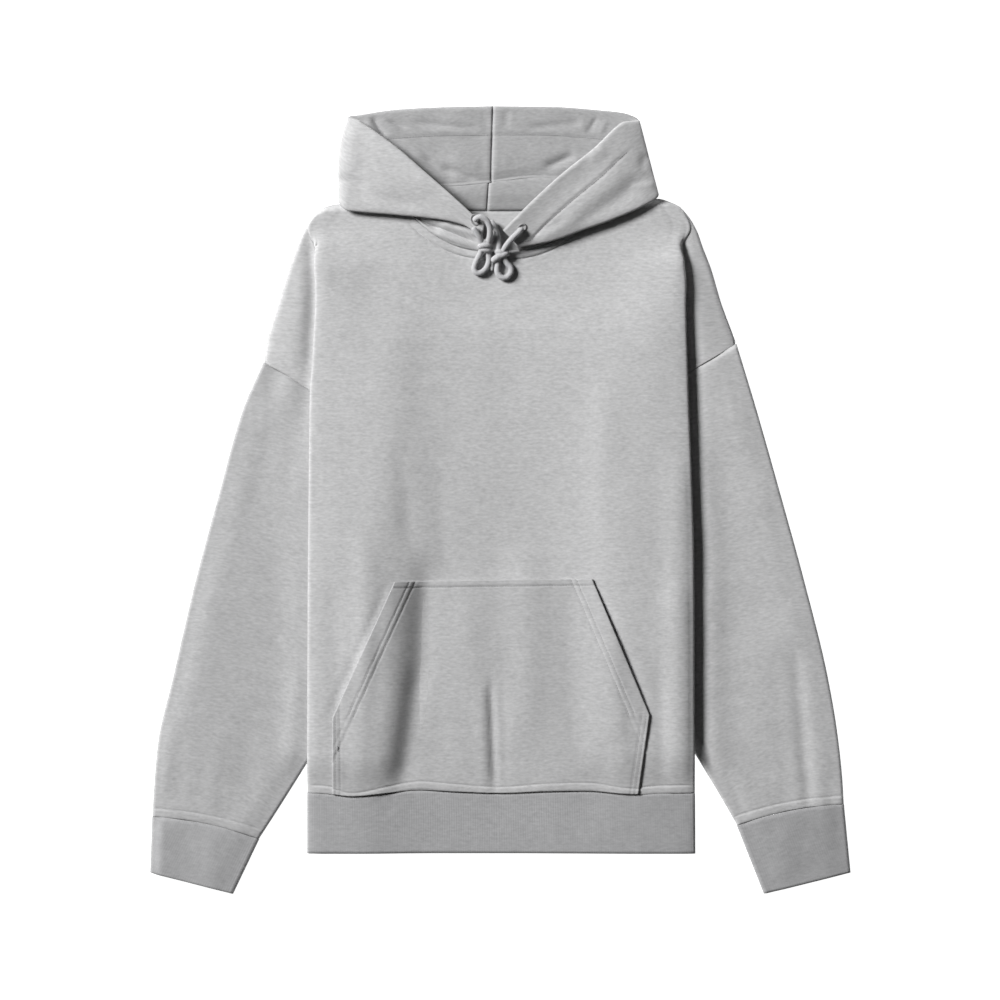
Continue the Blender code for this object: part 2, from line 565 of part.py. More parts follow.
def armhole_ring(side):
    """First ring of a sleeve, a little outside the armhole edges of the front and the back."""
    corners = np.array([(a.x, a.y) for a in ARMHOLE[side]], dtype=float)
    run = np.gradient(corners, axis=0)
    out = np.stack([-run[:, 1], run[:, 0]], axis=1) * (ARMHOLE_GAP / np.linalg.norm(run, axis=1))[:, None]
    corners += out
    corners[-1] += (1.5, -0.6)  # room for the sleeve's own fold at the armpit
    length = math.dist(corners[-1], corners[-2])
    places = [tuple(c) for c in corners[:-1]]
    places += [tuple(mix(corners[-1], corners[-2], RIM * f / length)) for f in LAST_FOLD]
    over, under = [], []
    for k, (x, y) in enumerate(places):
        high, low = upper_height(side, x, y), lower_height(side, x, y)
        inset = math.dist((x, y), corners[-1])
        if inset < RIM or k == 0:
            middle = (high + low) / 2.0 if k else FLOOR + RIM
            half = math.sqrt(max(RIM**2 - (RIM - inset) ** 2, 0.0)) / RIM if k else 0.0
            high, low = mix(middle, high, half), mix(middle, low, half)
        over.append((SIGN[side] * x, y, high))
        under.append((SIGN[side] * x, y, low))
    return over + under[-2:0:-1]


def sleeve(side):
    rings = [armhole_ring(side)]
    for ring in SLEEVES[side]:
        rings.append(tube_ring(side, (ring.outer_x, ring.outer_y), (ring.inner_x, ring.inner_y), ring.bow))
    return np.array(rings)


def cuff(side):
    """Ribbed cuff from just below the end of the sleeve to the opening."""
    top, end = SLEEVES[side][-1], CUFF_END[side]
    rings = []
    for t in (0.0, 0.5, 1.0):
        outer = (mix(top.outer_x, end.outer_x, t), mix(top.outer_y - SEAM_GAP - 0.2, end.outer_y, t))
        inner = (mix(top.inner_x, end.inner_x, t), mix(top.inner_y - SEAM_GAP - 0.2, end.inner_y, t))
        rings.append(tube_ring(side, outer, inner, top.bow * (1.0 - t)))
    return np.array(rings)


def hem_ring(y):
    """The hem rib as one ring: over the front, round the tucks on both sides and back along the floor."""
    ring = []
    for side in ("left", "right"):
        over = section_row(side, max(y, HEM_Y), True, False)[:ACROSS + TURN + UNDER + 1]
        under = section_row(side, max(y, HEM_Y), False, False)[:ACROSS + TURN + UNDER + 1]
        half = [(SIGN[side] * x, y, z + 0.2) for x, z in over]
        seam = SIGN[side] * (through(SIDES[side], "y", "seam", y) - 2.0)
        half += [(seam, y, (over[-1][1] + under[-1][1]) / 2.0 + 0.2)]
        half += [(SIGN[side] * x, y, z + 0.2) for x, z in under[::-1]]
        ring += half[:-1] if side == "left" else half[::-1][:-1]
    return ring


def hem_rib():
    return np.array([hem_ring(y) for y in (HEM_SEAM_Y - SEAM_GAP / 2.0, mix(HEM_SEAM_Y, HEM_Y, 0.5), HEM_Y)])


# ---------------------------------------------------------------- hood and cords
def hood_section(side, u, back_grid, front_grid):
    """One section of the hood from the neckline, along the hidden layers and over the fold to the rim."""
    rows = HOOD[side]
    at = Hood(*(float(curve(range(len(rows)), [getattr(r, f) for r in rows], u)) for f in Hood._fields))
    middle = COLUMNS - 1
    edge_y = []
    for grid in (back_grid, front_grid):
        top = grid[0, middle - ACROSS:middle + ACROSS + 1]
        edge_y.append(np.interp(SIGN[side] * at.neck_x, top[:, 0], top[:, 1]))
    gap = NECK_GAP * (1.0 + 8.0 * at.front * (1.0 - at.front))
    neck = np.array((at.neck_x, mix(edge_y[0], edge_y[1], at.front) + gap))
    fold, rim = np.array((at.fold_x, at.fold_y)), np.array((at.rim_x, at.rim_y))
    up = (rim - fold) / np.linalg.norm(rim - fold)
    out = np.array((up[1], -up[0]))
    under = fold + at.reach * up
    ease = min(at.reach / 4.0, 3.0)
    points = [
        (*neck, at.neck_z),
        (*mix(neck, under, 0.45), at.base),
        (*(under - ease * up), at.base),
        (*(under + 0.5 * ease * up), mix(at.base, at.middle, 0.15)),
        (*(under + 0.5 * ease * up), mix(at.base, at.middle, 0.85)),
        (*(under - ease * up), at.middle),
        (*(fold + ease * up), at.middle),
        (*(fold - 2.0 * up), mix(at.middle, at.top, 0.15)),
        (*(fold - 2.0 * up), mix(at.middle, at.top, 0.85)),
        (*(fold + 4.0 * up), at.top),
        (*(mix(fold, rim, 0.35) + at.bulge * out), mix(at.top, at.rim_z, 0.15)),
        (*(mix(fold, rim, 0.7) + at.bulge * out), mix(at.top, at.rim_z, 0.6)),
        (*rim, at.rim_z),
    ]
    path, spans = spline(points)
    row = np.stack([np.interp(HOOD_COLUMNS, spans, path[:, k]) for k in range(3)], axis=1)
    row[:, 0] = SIGN[side] * (row[:, 0] + CENTRE_GAP)
    return row


def hood(side, back_grid, front_grid):
    last = len(HOOD[side]) - 1
    return np.array([hood_section(side, u, back_grid, front_grid) for u in np.linspace(0.0, last, HOOD_ROWS)])


def cord(name, points, material):
    """A drawcord run: a smooth path through its points, with round walls and closed ends."""
    xyz = np.array(points)
    run = np.concatenate([[0.0], np.cumsum(np.linalg.norm(np.diff(xyz, axis=0), axis=1))])
    places = np.linspace(0.0, run[-1], int(run[-1] / CORD_STEP) + 2)
    path = np.stack([[float(curve(run, xyz[:, k], p)) for p in places] for k in range(3)], axis=1)
    data = bpy.data.curves.new(name, "CURVE")
    data.dimensions = "3D"
    data.bevel_depth = CORD / 2.0 * MM
    data.bevel_resolution = 2
    data.use_fill_caps = True
    line = data.splines.new("POLY")
    line.points.add(len(path) - 1)
    for target, point in zip(line.points, path):
        target.co = (*(point * MM), 1.0)
    return place(name, data, material)


def knot(name, size, material):
    """A pulled-tight knot, as a plain rounded lump."""
    mesh = bpy.data.meshes.new(name)
    work = bmesh.new()
    bmesh.ops.create_uvsphere(work, u_segments=12, v_segments=8, radius=MM / 2.0)
    work.transform(Matrix.Translation(Vector((size.x, size.y, size.z)) * MM)
                   @ Matrix.Rotation(math.radians(size.turn), 4, "Z")
                   @ Matrix.Diagonal((size.length, size.width, size.height, 1.0)))
    work.to_mesh(mesh)
    work.free()
    mesh.shade_smooth()
    return place(name, mesh, material)


def main():
    for old in list(bpy.data.objects):
        bpy.data.objects.remove(old, do_unlink=True)
    collection = bpy.data.collections.new("Pullover hoodie")
    bpy.context.scene.collection.children.link(collection)
    front_grid, back_grid = panel(True), panel(False)
    tucked = pressed_vertices(front_grid)
    walls = [("front", grid_mesh("front", front_grid), FLEECE, FLEECE_GREY, tucked),
             ("back", grid_mesh("back", back_grid), FLEECE, FLEECE_GREY, tucked),
             ("pocket", pocket(front_grid), POCKET_CLOTH, FLEECE_GREY, ()),
             ("hem_rib", grid_mesh("hem_rib", hem_rib(), True), RIB, RIB_GREY, ())]
    for side in SIGN:
        sleeve_name, cuff_name, hood_name = "sleeve_" + side, "cuff_" + side, "hood_" + side
        hood_mesh = grid_mesh(hood_name, hood(side, back_grid, front_grid))
        walls += [(sleeve_name, grid_mesh(sleeve_name, sleeve(side), True), FLEECE, FLEECE_GREY, ()),
                  (cuff_name, grid_mesh(cuff_name, cuff(side), True), RIB, RIB_GREY, ()),
                  (hood_name, hood_mesh, FLEECE, FLEECE_GREY, ())]
    for name, mesh, wall, colour, pressed in walls:
        cloth(name, mesh, wall, make_material(name, colour, 0.9), pressed)
    for name, points in CORDS.items():
        cord(name, points, make_material(name, CORD_GREY, 0.85))
    for name, size in KNOTS.items():
        knot(name, size, make_material(name, CORD_GREY, 0.85))
    to_middle = Matrix.Translation(Vector((-MIDDLE[0], -MIDDLE[1], 0.0)) * MM)
    for piece in collection.objects:
        piece.data.transform(to_middle)


main()
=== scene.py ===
"""Pullover hoodie lying flat, front up, dressed on its solids."""

import math
from collections import namedtuple

import bpy
import numpy as np
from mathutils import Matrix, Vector


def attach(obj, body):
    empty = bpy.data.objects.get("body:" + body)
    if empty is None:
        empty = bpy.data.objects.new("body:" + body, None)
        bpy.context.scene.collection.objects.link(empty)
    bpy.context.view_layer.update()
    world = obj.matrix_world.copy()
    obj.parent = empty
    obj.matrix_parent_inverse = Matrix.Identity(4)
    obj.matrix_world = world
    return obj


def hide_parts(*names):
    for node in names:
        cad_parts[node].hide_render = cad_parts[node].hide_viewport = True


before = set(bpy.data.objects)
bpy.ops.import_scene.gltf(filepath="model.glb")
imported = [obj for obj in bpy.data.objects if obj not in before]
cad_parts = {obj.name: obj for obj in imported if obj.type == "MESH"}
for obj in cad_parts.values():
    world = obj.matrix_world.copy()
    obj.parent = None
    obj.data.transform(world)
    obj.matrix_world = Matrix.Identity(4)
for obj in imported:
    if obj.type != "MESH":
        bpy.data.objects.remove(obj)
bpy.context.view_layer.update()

# ---- View, table and light
# The garment lies on a white table and is seen from straight above. One soft window of light stands high on
# its upper left, so each folded edge throws a short shadow to its right. The glowing white table and the room
# fill the rest.
MM = 0.001
MIDDLE = (2.05, -0.3)  # middle of the outline in the millimetre tables below
VIEW_WIDTH = 1060.0  # millimetres seen from side to side at the level of the cloth
VIEW_CENTRE = (-0.35, 0.57)
CLOTH_LEVEL = 6.0  # height at which the view has its true width
LENS, SENSOR = 100.0, 36.0
TABLE_HALF = 4.0
TABLE_LEVEL = -0.0004  # metres, just under the cloth, so that the two surfaces never coincide
ROOM_LIGHT = 0.02


def aim(thing, target):
    """Turn an object at its place towards a point, with the top of its view to the hood."""
    thing.rotation_euler = (Vector(target) - thing.location).to_track_quat("-Z", "Y").to_euler()


camera_data = bpy.data.cameras.new("View from above")
camera_data.lens = LENS
camera_data.sensor_width = SENSOR
camera_data.clip_end = 20.0
camera = bpy.data.objects.new("View from above", camera_data)
camera.location = (
    VIEW_CENTRE[0] * MM,
    VIEW_CENTRE[1] * MM,
    (VIEW_WIDTH * LENS / SENSOR + CLOTH_LEVEL) * MM,
)
bpy.context.scene.collection.objects.link(camera)
bpy.context.scene.camera = camera

table_ways = ((-1, -1), (1, -1), (1, 1), (-1, 1))
table_corners = [(TABLE_HALF * x, TABLE_HALF * y, TABLE_LEVEL) for x, y in table_ways]
table_mesh = bpy.data.meshes.new("table_top")
table_mesh.from_pydata(table_corners, [], [(0, 1, 2, 3)])
table_top = bpy.data.objects.new("table_top", table_mesh)
bpy.context.scene.collection.objects.link(table_top)
table_white = bpy.data.materials.new("Table white")
table_white.use_nodes = True
table_finish = table_white.node_tree.nodes["Principled BSDF"].inputs
table_finish["Base Color"].default_value = (0.6, 0.6, 0.6, 1.0)
table_finish["Roughness"].default_value = 0.9
table_finish["Emission Color"].default_value = (1.0, 1.0, 1.0, 1.0)
table_finish["Emission Strength"].default_value = 1.0
table_mesh.materials.append(table_white)

Lamp = namedtuple("Lamp", "name x y z size power")
LAMPS = [
    Lamp("Window light", -4.12, 2.57, 3.53, 2.2, 630.0),
    Lamp("Ceiling light", -0.3, 0.9, 2.4, 1.6, 2.0),
]
for lamp in LAMPS:
    lamp_data = bpy.data.lights.new(lamp.name, "AREA")
    lamp_data.shape = "DISK"
    lamp_data.size = lamp.size
    lamp_data.energy = lamp.power
    lamp_object = bpy.data.objects.new(lamp.name, lamp_data)
    lamp_object.location = (lamp.x, lamp.y, lamp.z)
    aim(lamp_object, (0.0, 0.0, 0.0))
    bpy.context.scene.collection.objects.link(lamp_object)

room = bpy.data.worlds.new("Room")
room.use_nodes = True
room_glow = room.node_tree.nodes["Background"].inputs
room_glow["Color"].default_value = (1.0, 1.0, 1.0, 1.0)
room_glow["Strength"].default_value = ROOM_LIGHT
bpy.context.scene.world = room
bpy.context.scene.view_settings.view_transform = "Standard"

# ---- Drawcords
# Two soft round braided cotton cords run inside the turned edge of the hood and come out at its two front
# ends. Each is tied in a small bow knot with one loop hanging below it and its own short end tucked up
# behind.
BOTH_SIDES = ("right", "left")  # the wearer's
CORD = 6.2  # thickness of a drawcord
CORD_END_THICK = {"right": 5.6, "left": 3.6}
STRANDS_ROUND = 4.0
BRAID_PITCH = 5.2
FLEECE = 2.2  # thickness of the brushed fleece

CordPoint = namedtuple("CordPoint", "x y z")
CORD_ROUTES = {
    "drawcord_right": [
        CordPoint(-25.0, 294.6, 26.0), CordPoint(-22.4, 297.2, 27.6), CordPoint(-18.0, 297.8, 28.2),
        CordPoint(-12.6, 294.6, 27.6), CordPoint(-9.4, 288.4, 26.0), CordPoint(-8.8, 281.7, 24.0),
        CordPoint(-9.8, 275.2, 21.0), CordPoint(-11.2, 268.6, 17.6), CordPoint(-10.6, 262.0, 13.8),
        CordPoint(-10.0, 253.6, 12.0), CordPoint(-12.4, 246.2, 11.6), CordPoint(-17.4, 241.2, 11.6),
        CordPoint(-22.8, 240.6, 11.6), CordPoint(-25.6, 244.8, 11.6), CordPoint(-23.6, 252.2, 11.8),
        CordPoint(-19.2, 260.6, 13.6), CordPoint(-16.8, 268.6, 17.0), CordPoint(-19.0, 275.2, 21.0),
        CordPoint(-22.4, 281.0, 23.4), CordPoint(-26.2, 286.6, 24.4),
    ],
    "drawcord_left": [
        CordPoint(24.6, 285.6, 26.6), CordPoint(21.8, 282.6, 27.0), CordPoint(16.4, 277.6, 26.0),
        CordPoint(11.0, 272.0, 22.4), CordPoint(6.4, 265.6, 17.4), CordPoint(4.4, 259.4, 13.6),
        CordPoint(9.0, 251.0, 11.8), CordPoint(12.8, 246.6, 11.6), CordPoint(13.4, 241.4, 11.6),
        CordPoint(10.2, 236.8, 11.6), CordPoint(5.4, 235.4, 11.6), CordPoint(0.8, 237.8, 11.6),
        CordPoint(-1.4, 242.6, 11.6), CordPoint(-0.8, 248.4, 11.8), CordPoint(-0.2, 254.6, 12.8),
        CordPoint(-0.2, 262.0, 14.4), CordPoint(0.0, 270.0, 14.6), CordPoint(-1.0, 280.0, 13.4),
        CordPoint(-3.6, 288.6, 10.6), CordPoint(-7.6, 295.0, 7.8),
    ],
    "drawcord_right_end": [
        CordPoint(-10.6, 270.6, 15.8), CordPoint(-8.2, 274.6, 16.2), CordPoint(-5.8, 279.6, 15.0),
        CordPoint(-5.2, 284.0, 13.4),
    ],
    "drawcord_left_end": [
        CordPoint(-5.4, 256.6, 12.2), CordPoint(-6.6, 250.0, 11.0), CordPoint(-7.0, 243.6, 10.6),
    ],
}
# Wraps of cord pulled round each knot: one small arc each, across the strands that it holds
Wrap = namedtuple("Wrap", "x y z across turn tilt thick")
KNOT_WRAPS = {
    "drawcord_knot_right": [
        Wrap(-14.2, 268.4, 17.6, 5.0, 4.0, 14.0, 6.4), Wrap(-13.6, 264.6, 15.6, 4.6, -8.0, -6.0, 5.6),
        Wrap(-15.0, 271.6, 18.0, 3.2, 38.0, 20.0, 5.4),
    ],
    "drawcord_knot_left": [
        Wrap(0.2, 256.6, 13.4, 5.6, 30.0, 14.0, 7.0), Wrap(4.6, 259.6, 14.0, 4.6, 18.0, -10.0, 6.6),
        Wrap(2.2, 261.4, 14.6, 4.4, -24.0, 20.0, 5.4),
    ],
}


def smooth(value, low, high):
    """Zero at low and one at high, with a soft step between them, whichever of the two is greater."""
    t = np.clip((value - low) / (high - low), 0.0, 1.0)
    return t * t * (3.0 - 2.0 * t)


def mix(a, b, t):
    """The value a share t of the way from a to b."""
    return a + (b - a) * t


def curve(xs, ys, at):
    """Smooth monotone curve through points, level past its ends."""
    xs, ys = np.array(xs, dtype=float), np.array(ys, dtype=float)
    step = np.diff(ys) / np.diff(xs)
    slope = np.concatenate([[step[0]], np.zeros(len(xs) - 2), [step[-1]]])
    for k in range(1, len(xs) - 1):
        if step[k - 1] * step[k] > 0:
            slope[k] = 2.0 * step[k - 1] * step[k] / (step[k - 1] + step[k])
    at = np.clip(at, xs[0], xs[-1])
    k = np.clip(np.searchsorted(xs, at) - 1, 0, len(xs) - 2)
    h = xs[k + 1] - xs[k]
    t = (at - xs[k]) / h
    return (
        ys[k] * (1 + 2 * t) * (1 - t) ** 2
        + ys[k + 1] * t * t * (3 - 2 * t)
        + slope[k] * h * t * (1 - t) ** 2
        - slope[k + 1] * h * t * t * (1 - t)
    )


def spline(points, per_span=6):
    """Cubic B-spline with its ends on the first and last control points. Returns points and their spans."""
    p = np.array(points, dtype=float)
    p = np.vstack([2 * p[0] - p[1], p, 2 * p[-1] - p[-2]])
    t = np.arange(per_span) / per_span
    weight = np.stack([(1 - t) ** 3, 3 * t**3 - 6 * t**2 + 4, -3 * t**3 + 3 * t**2 + 3 * t + 1, t**3]) / 6.0
    spans = len(p) - 3
    last = (p[-3] + 4 * p[-2] + p[-1]) / 6.0
    out = np.concatenate([weight.T @ p[k:k + 4] for k in range(spans)] + [[last]])
    at = np.concatenate([k + t for k in range(spans)] + [[float(spans)]])
    return out, at


def through_points(points, spacing):
    """A smooth path through points, resampled at an even spacing."""
    p = np.array(points, dtype=float)
    p = np.vstack([2 * p[0] - p[1], p, 2 * p[-1] - p[-2]])
    path = []
    for k in range(len(p) - 3):
        for t in np.linspace(0.0, 1.0, 12, endpoint=False):
            a, b, c, d = p[k:k + 4]
            path.append(0.5 * (2 * b + (c - a) * t + (2 * a - 5 * b + 4 * c - d) * t**2
                               + (3 * b - a - 3 * c + d) * t**3))
    path.append(p[-2])
    path = np.array(path)
    run = np.concatenate([[0.0], np.cumsum(np.linalg.norm(np.diff(path, axis=0), axis=1))])
    places = np.linspace(0.0, run[-1], max(int(run[-1] / spacing), 2) + 1)
    return np.stack([np.interp(places, run, path[:, k]) for k in range(path.shape[1])], axis=1)


def in_frame(points):
    """Table millimetres to metres in the model's frame."""
    moved = np.array(points, dtype=float).copy()
    moved[..., 0] -= MIDDLE[0]
    moved[..., 1] -= MIDDLE[1]
    return moved * MM


def placed(name, mesh, material, *nodes, slot=None):
    """A finished piece on the root body, in place of its CAD nodes."""
    piece = bpy.data.objects.new(name, mesh)
    bpy.context.scene.collection.objects.link(piece)
    piece.data.materials.append(material)
    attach(piece, "root")
    if nodes:
        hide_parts(*nodes)
    return piece


def tube_mesh(name, paths, radii, sides=14):
    """Round tubes along paths with closed, rounded ends, and a UV map in metres: round, then along."""
    verts, faces, uvs = [], [], []
    for path, radius in zip(paths, radii):
        ends = [path[0] + (path[0] - path[1]) / np.linalg.norm(path[0] - path[1]) * radius * 0.45]
        tail = [path[-1] + (path[-1] - path[-2]) / np.linalg.norm(path[-1] - path[-2]) * radius * 0.45]
        line = np.vstack([ends, path, tail])
        sizes = np.concatenate([[0.45], [0.9], np.ones(len(path) - 2), [0.9], [0.45]]) * radius
        tangent = np.gradient(line, axis=0)
        tangent /= np.linalg.norm(tangent, axis=1)[:, None]
        side = np.cross(tangent[0], (0.0, 0.0, 1.0))
        if np.linalg.norm(side) < 0.2:
            side = np.cross(tangent[0], (0.0, 1.0, 0.0))
        run, base = 0.0, len(verts)
        for k, (centre, way, size) in enumerate(zip(line, tangent, sizes)):
            side = side - way * np.dot(side, way)
            side /= np.linalg.norm(side)
            up = np.cross(way, side)
            if k:
                run += np.linalg.norm(line[k] - line[k - 1])
            for i in range(sides):
                angle = 2.0 * math.pi * i / sides
                verts.append(centre + size * (math.cos(angle) * side + math.sin(angle) * up))
            if k:
                for i in range(sides):
                    n = (i + 1) % sides
                    low, high = base + (k - 1) * sides, base + k * sides
                    faces.append((low + i, low + n, high + n, high + i))
                    before = run - np.linalg.norm(line[k] - line[k - 1])
                    a, b = i / sides * 2 * math.pi * radius, (i + 1) / sides * 2 * math.pi * radius
                    uvs += [(a, before), (b, before), (b, run), (a, run)]
        for row, order in ((0, -1), (len(line) - 1, 1)):
            cap = [base + row * sides + i for i in range(sides)][::order]
            faces.append(cap)
            uvs += [(0.0, 0.0)] * sides
    mesh = bpy.data.meshes.new(name)
    mesh.from_pydata((np.array(verts) * MM).tolist(), [], faces)
    layer = mesh.uv_layers.new(name="UVMap")
    layer.data.foreach_set("uv", (np.array(uvs) * MM).reshape(-1))
    mesh.shade_smooth()
    return mesh


def math_node(tree, operation, first, second=None, third=None):
    """One sum of a material, on numbers or on other nodes' outputs."""
    node = tree.nodes.new("ShaderNodeMath")
    node.operation = operation
    for socket, value in zip(node.inputs, (first, second, third)):
        if value is None:
            continue
        if isinstance(value, (int, float)):
            socket.default_value = value
        else:
            tree.links.new(value, socket)
    return node.outputs[0]


def braided_cord(name, colour):
    """Round cotton braid: strands crossing both ways, painted shade in the gaps between them and painted
    highlight on their crowns.
    """
    material = bpy.data.materials.new(name)
    material.use_nodes = True
    tree = material.node_tree
    shader = tree.nodes["Principled BSDF"]
    shader.inputs["Roughness"].default_value = 0.88
    shader.inputs["Sheen Weight"].default_value = 0.15
    uv = tree.nodes.new("ShaderNodeUVMap")
    uv.uv_map = "UVMap"
    split = tree.nodes.new("ShaderNodeSeparateXYZ")
    tree.links.new(uv.outputs["UV"], split.inputs[0])
    turns = 2.0 * math.pi / (CORD * math.pi * MM) * STRANDS_ROUND
    around = math_node(tree, "MULTIPLY", split.outputs["X"], turns)
    along = math_node(tree, "MULTIPLY", split.outputs["Y"], 2.0 * math.pi / (BRAID_PITCH * MM))
    climb = math_node(tree, "MULTIPLY", along, 2.0)
    right = math_node(tree, "SINE", math_node(tree, "ADD", around, climb))
    left = math_node(tree, "SINE", math_node(tree, "SUBTRACT", around, climb))
    crossing = [math_node(tree, "ABSOLUTE", way) for way in (right, left)]
    strands = math_node(tree, "MULTIPLY", *crossing)
    noise = tree.nodes.new("ShaderNodeTexNoise")
    noise.inputs["Scale"].default_value = 900.0
    noise.inputs["Detail"].default_value = 2.0
    tree.links.new(uv.outputs["UV"], noise.inputs["Vector"])
    height = math_node(tree, "ADD", strands, math_node(tree, "MULTIPLY", noise.outputs["Fac"], 0.45))
    # Colour follows the braid's height: painted shade in the low gaps, painted highlight on the high crowns.
    ramp = tree.nodes.new("ShaderNodeValToRGB")
    ramp.color_ramp.elements[0].position = 0.12
    ramp.color_ramp.elements[0].color = (*(c * 0.66 for c in colour), 1.0)
    ramp.color_ramp.elements[1].position = 0.85
    ramp.color_ramp.elements[1].color = (*(min(c * 1.12, 1.0) for c in colour), 1.0)
    tree.links.new(height, ramp.inputs["Fac"])
    tree.links.new(ramp.outputs["Color"], shader.inputs["Base Color"])
    bump = tree.nodes.new("ShaderNodeBump")
    bump.inputs["Strength"].default_value = 0.6
    bump.inputs["Distance"].default_value = 0.0006
    tree.links.new(height, bump.inputs["Height"])
    tree.links.new(bump.outputs["Normal"], shader.inputs["Normal"])
    return material


def wrap_path(wrap):
    """Most of a turn of cord round the strands of a knot."""
    turn, tilt = math.radians(wrap.turn), math.radians(wrap.tilt)
    points = []
    for angle in np.radians(np.arange(-150.0, 151.0, 25.0)):
        along = wrap.across * math.sin(angle)
        up = wrap.across * 0.55 * math.cos(angle)
        points.append((
            wrap.x + along * math.cos(turn) - up * math.sin(turn) * math.sin(tilt),
            wrap.y + along * math.sin(turn) + up * math.cos(turn) * math.sin(tilt),
            wrap.z + up * math.cos(tilt),
        ))
    return in_frame(points) / MM


cord_grey = braided_cord("Braided grey cord", (0.5, 0.5, 0.51))
cord_paths = {name: in_frame(through_points(route, 1.2)) / MM for name, route in CORD_ROUTES.items()}
cord_nodes = {
    "drawcord_right": ("cord_right", "cord_right_tail", "cord_right_loop"),
    "drawcord_left": ("cord_left", "cord_left_tail", "cord_left_loop"),
}
for side, thick in CORD_END_THICK.items():
    name = f"drawcord_{side}_end"
    end_mesh = tube_mesh(name, [cord_paths[name]], [thick / 2])
    placed(name, end_mesh, cord_grey, slot="cord_" + side)
for side in BOTH_SIDES:
    name, knot_name = "drawcord_" + side, "drawcord_knot_" + side
    cord_piece = placed(name, tube_mesh(name, [cord_paths[name]], [CORD / 2]), cord_grey, *cord_nodes[name])
    wraps = KNOT_WRAPS[knot_name]
    knot_piece = placed(
        knot_name, tube_mesh(knot_name, [wrap_path(w) for w in wraps], [w.thick / 2 for w in wraps]),
        cord_grey, "knot_" + side,
    )

# ---- Back panel
# One panel of brushed heather fleece, cut with the drop shoulder and folded under at both sides. It lies flat
# on the table and carries everything else.
SIGN = {"right": -1.0, "left": 1.0}
HEM_SEAM_Y = -309.5
HEM_Y = -373.8
ARMPIT_Y = -64.0
SEAM_GAP = 0.3  # between the panels and the hem rib
HIDDEN_GAP = 1.3  # left between the cut edges inside the tuck
WALL_GAP = 0.1  # least clear space between two layers
SEAM_RAISE = 0.5  # how far the seam allowance under the cloth lifts it
STITCH_DIP = 0.8  # how deep a row of stitches draws it in
SEAM_DIP = 0.9  # how far it turns down into a seam
FLOOR = FLEECE / 2  # middle of a layer that lies on the table
ROLL = 3.6  # step over a folded edge
SLEEVE_STEP = 3.4  # step between the two walls of the sleeve
PUFF = 8.2  # top of a sleeve or shoulder that lies alone
CENTRE = 7.0  # front panel along the middle
EDGE_LIFT = 3.9  # front panel over its own tuck
RIM = 2.6  # radius of the folded edge round the outline
NECK_HALF = 101.0
NECK_TOP = 314.6
FRONT_NECK_DROP = 51.0
FRONT_NECK_POWER = 2.6  # a higher power makes a squarer neckline
BACK_NECK_DROP = 8.0
BACK_NECK_POWER = 3.0
BACK_INSET = 12.0  # how far the back's fold lies inside the front's near the hem
CLOSE_ROWS = 14.0  # rows of points lie closer within this of a seam

# Sides of the body. outline is where the cloth ends in plan, edge the fold of the body over the sleeve,
# seam the side seam hidden in the tuck, sleeve how far the sleeve fills that tuck, fold how deep it lies.
Side = namedtuple("Side", "y outline edge seam sleeve fold")
SIDES = {
    "right": [
        Side(315.0, 165.0, 174.0, 180.0, 1.0, 0.0),
        Side(309.3, 187.0, 180.0, 186.0, 1.0, 0.0),
        Side(288.1, 203.9, 195.0, 201.0, 1.0, 0.0),
        Side(268.0, 212.5, 194.0, 193.0, 1.0, 0.6),
        Side(245.0, 221.0, 192.5, 181.0, 1.0, 1.0),
        Side(225.0, 227.5, 191.5, 172.0, 1.0, 1.0),
        Side(211.7, 231.5, 191.5, 165.0, 1.0, 1.0),
        Side(169.3, 244.5, 193.5, 141.0, 1.0, 1.0),
        Side(146.0, 248.5, 194.5, 132.0, 1.0, 1.0),
        Side(116.3, 262.0, 197.0, 125.0, 1.0, 1.0),
        Side(42.1, 285.6, 198.0, 117.0, 1.0, 1.0),
        Side(-64.0, 316.5, 199.0, 113.0, 1.0, 1.0),
        Side(-148.7, 336.0, 199.5, 112.0, 1.0, 1.0),
        Side(-212.3, 350.0, 199.7, 114.0, 1.0, 1.0),
        Side(-270.0, 360.5, 200.0, 120.0, 1.0, 1.0),
        Side(HEM_SEAM_Y, 365.0, 200.2, 124.0, 0.1, 1.0),
        Side(HEM_Y, 367.0, 200.2, 124.0, 0.0, 1.0),
    ],
    "left": [
        Side(319.0, 174.0, 178.0, 184.0, 1.0, 0.0),
        Side(309.3, 194.6, 187.0, 193.0, 1.0, 0.0),
        Side(288.1, 208.6, 197.0, 203.0, 1.0, 0.0),
        Side(268.0, 216.0, 193.5, 192.0, 1.0, 0.6),
        Side(245.0, 225.0, 195.0, 184.0, 1.0, 1.0),
        Side(225.0, 231.0, 196.4, 177.0, 1.0, 1.0),
        Side(211.7, 234.9, 196.0, 169.0, 1.0, 1.0),
        Side(165.1, 251.9, 197.2, 143.0, 1.0, 1.0),
        Side(138.6, 259.5, 198.0, 133.0, 1.0, 1.0),
        Side(105.7, 268.8, 199.0, 126.0, 1.0, 1.0),
        Side(42.1, 287.9, 201.5, 118.0, 1.0, 1.0),
        Side(-64.0, 319.0, 204.5, 114.0, 1.0, 1.0),
        Side(-148.7, 340.5, 205.0, 113.0, 1.0, 1.0),
        Side(-212.3, 353.0, 205.0, 116.0, 1.0, 1.0),
        Side(-265.0, 361.0, 205.4, 122.0, 1.0, 1.0),
        Side(HEM_SEAM_Y, 364.5, 205.8, 126.0, 0.1, 1.0),
        Side(HEM_Y, 366.0, 206.2, 126.0, 0.0, 1.0),
    ],
}

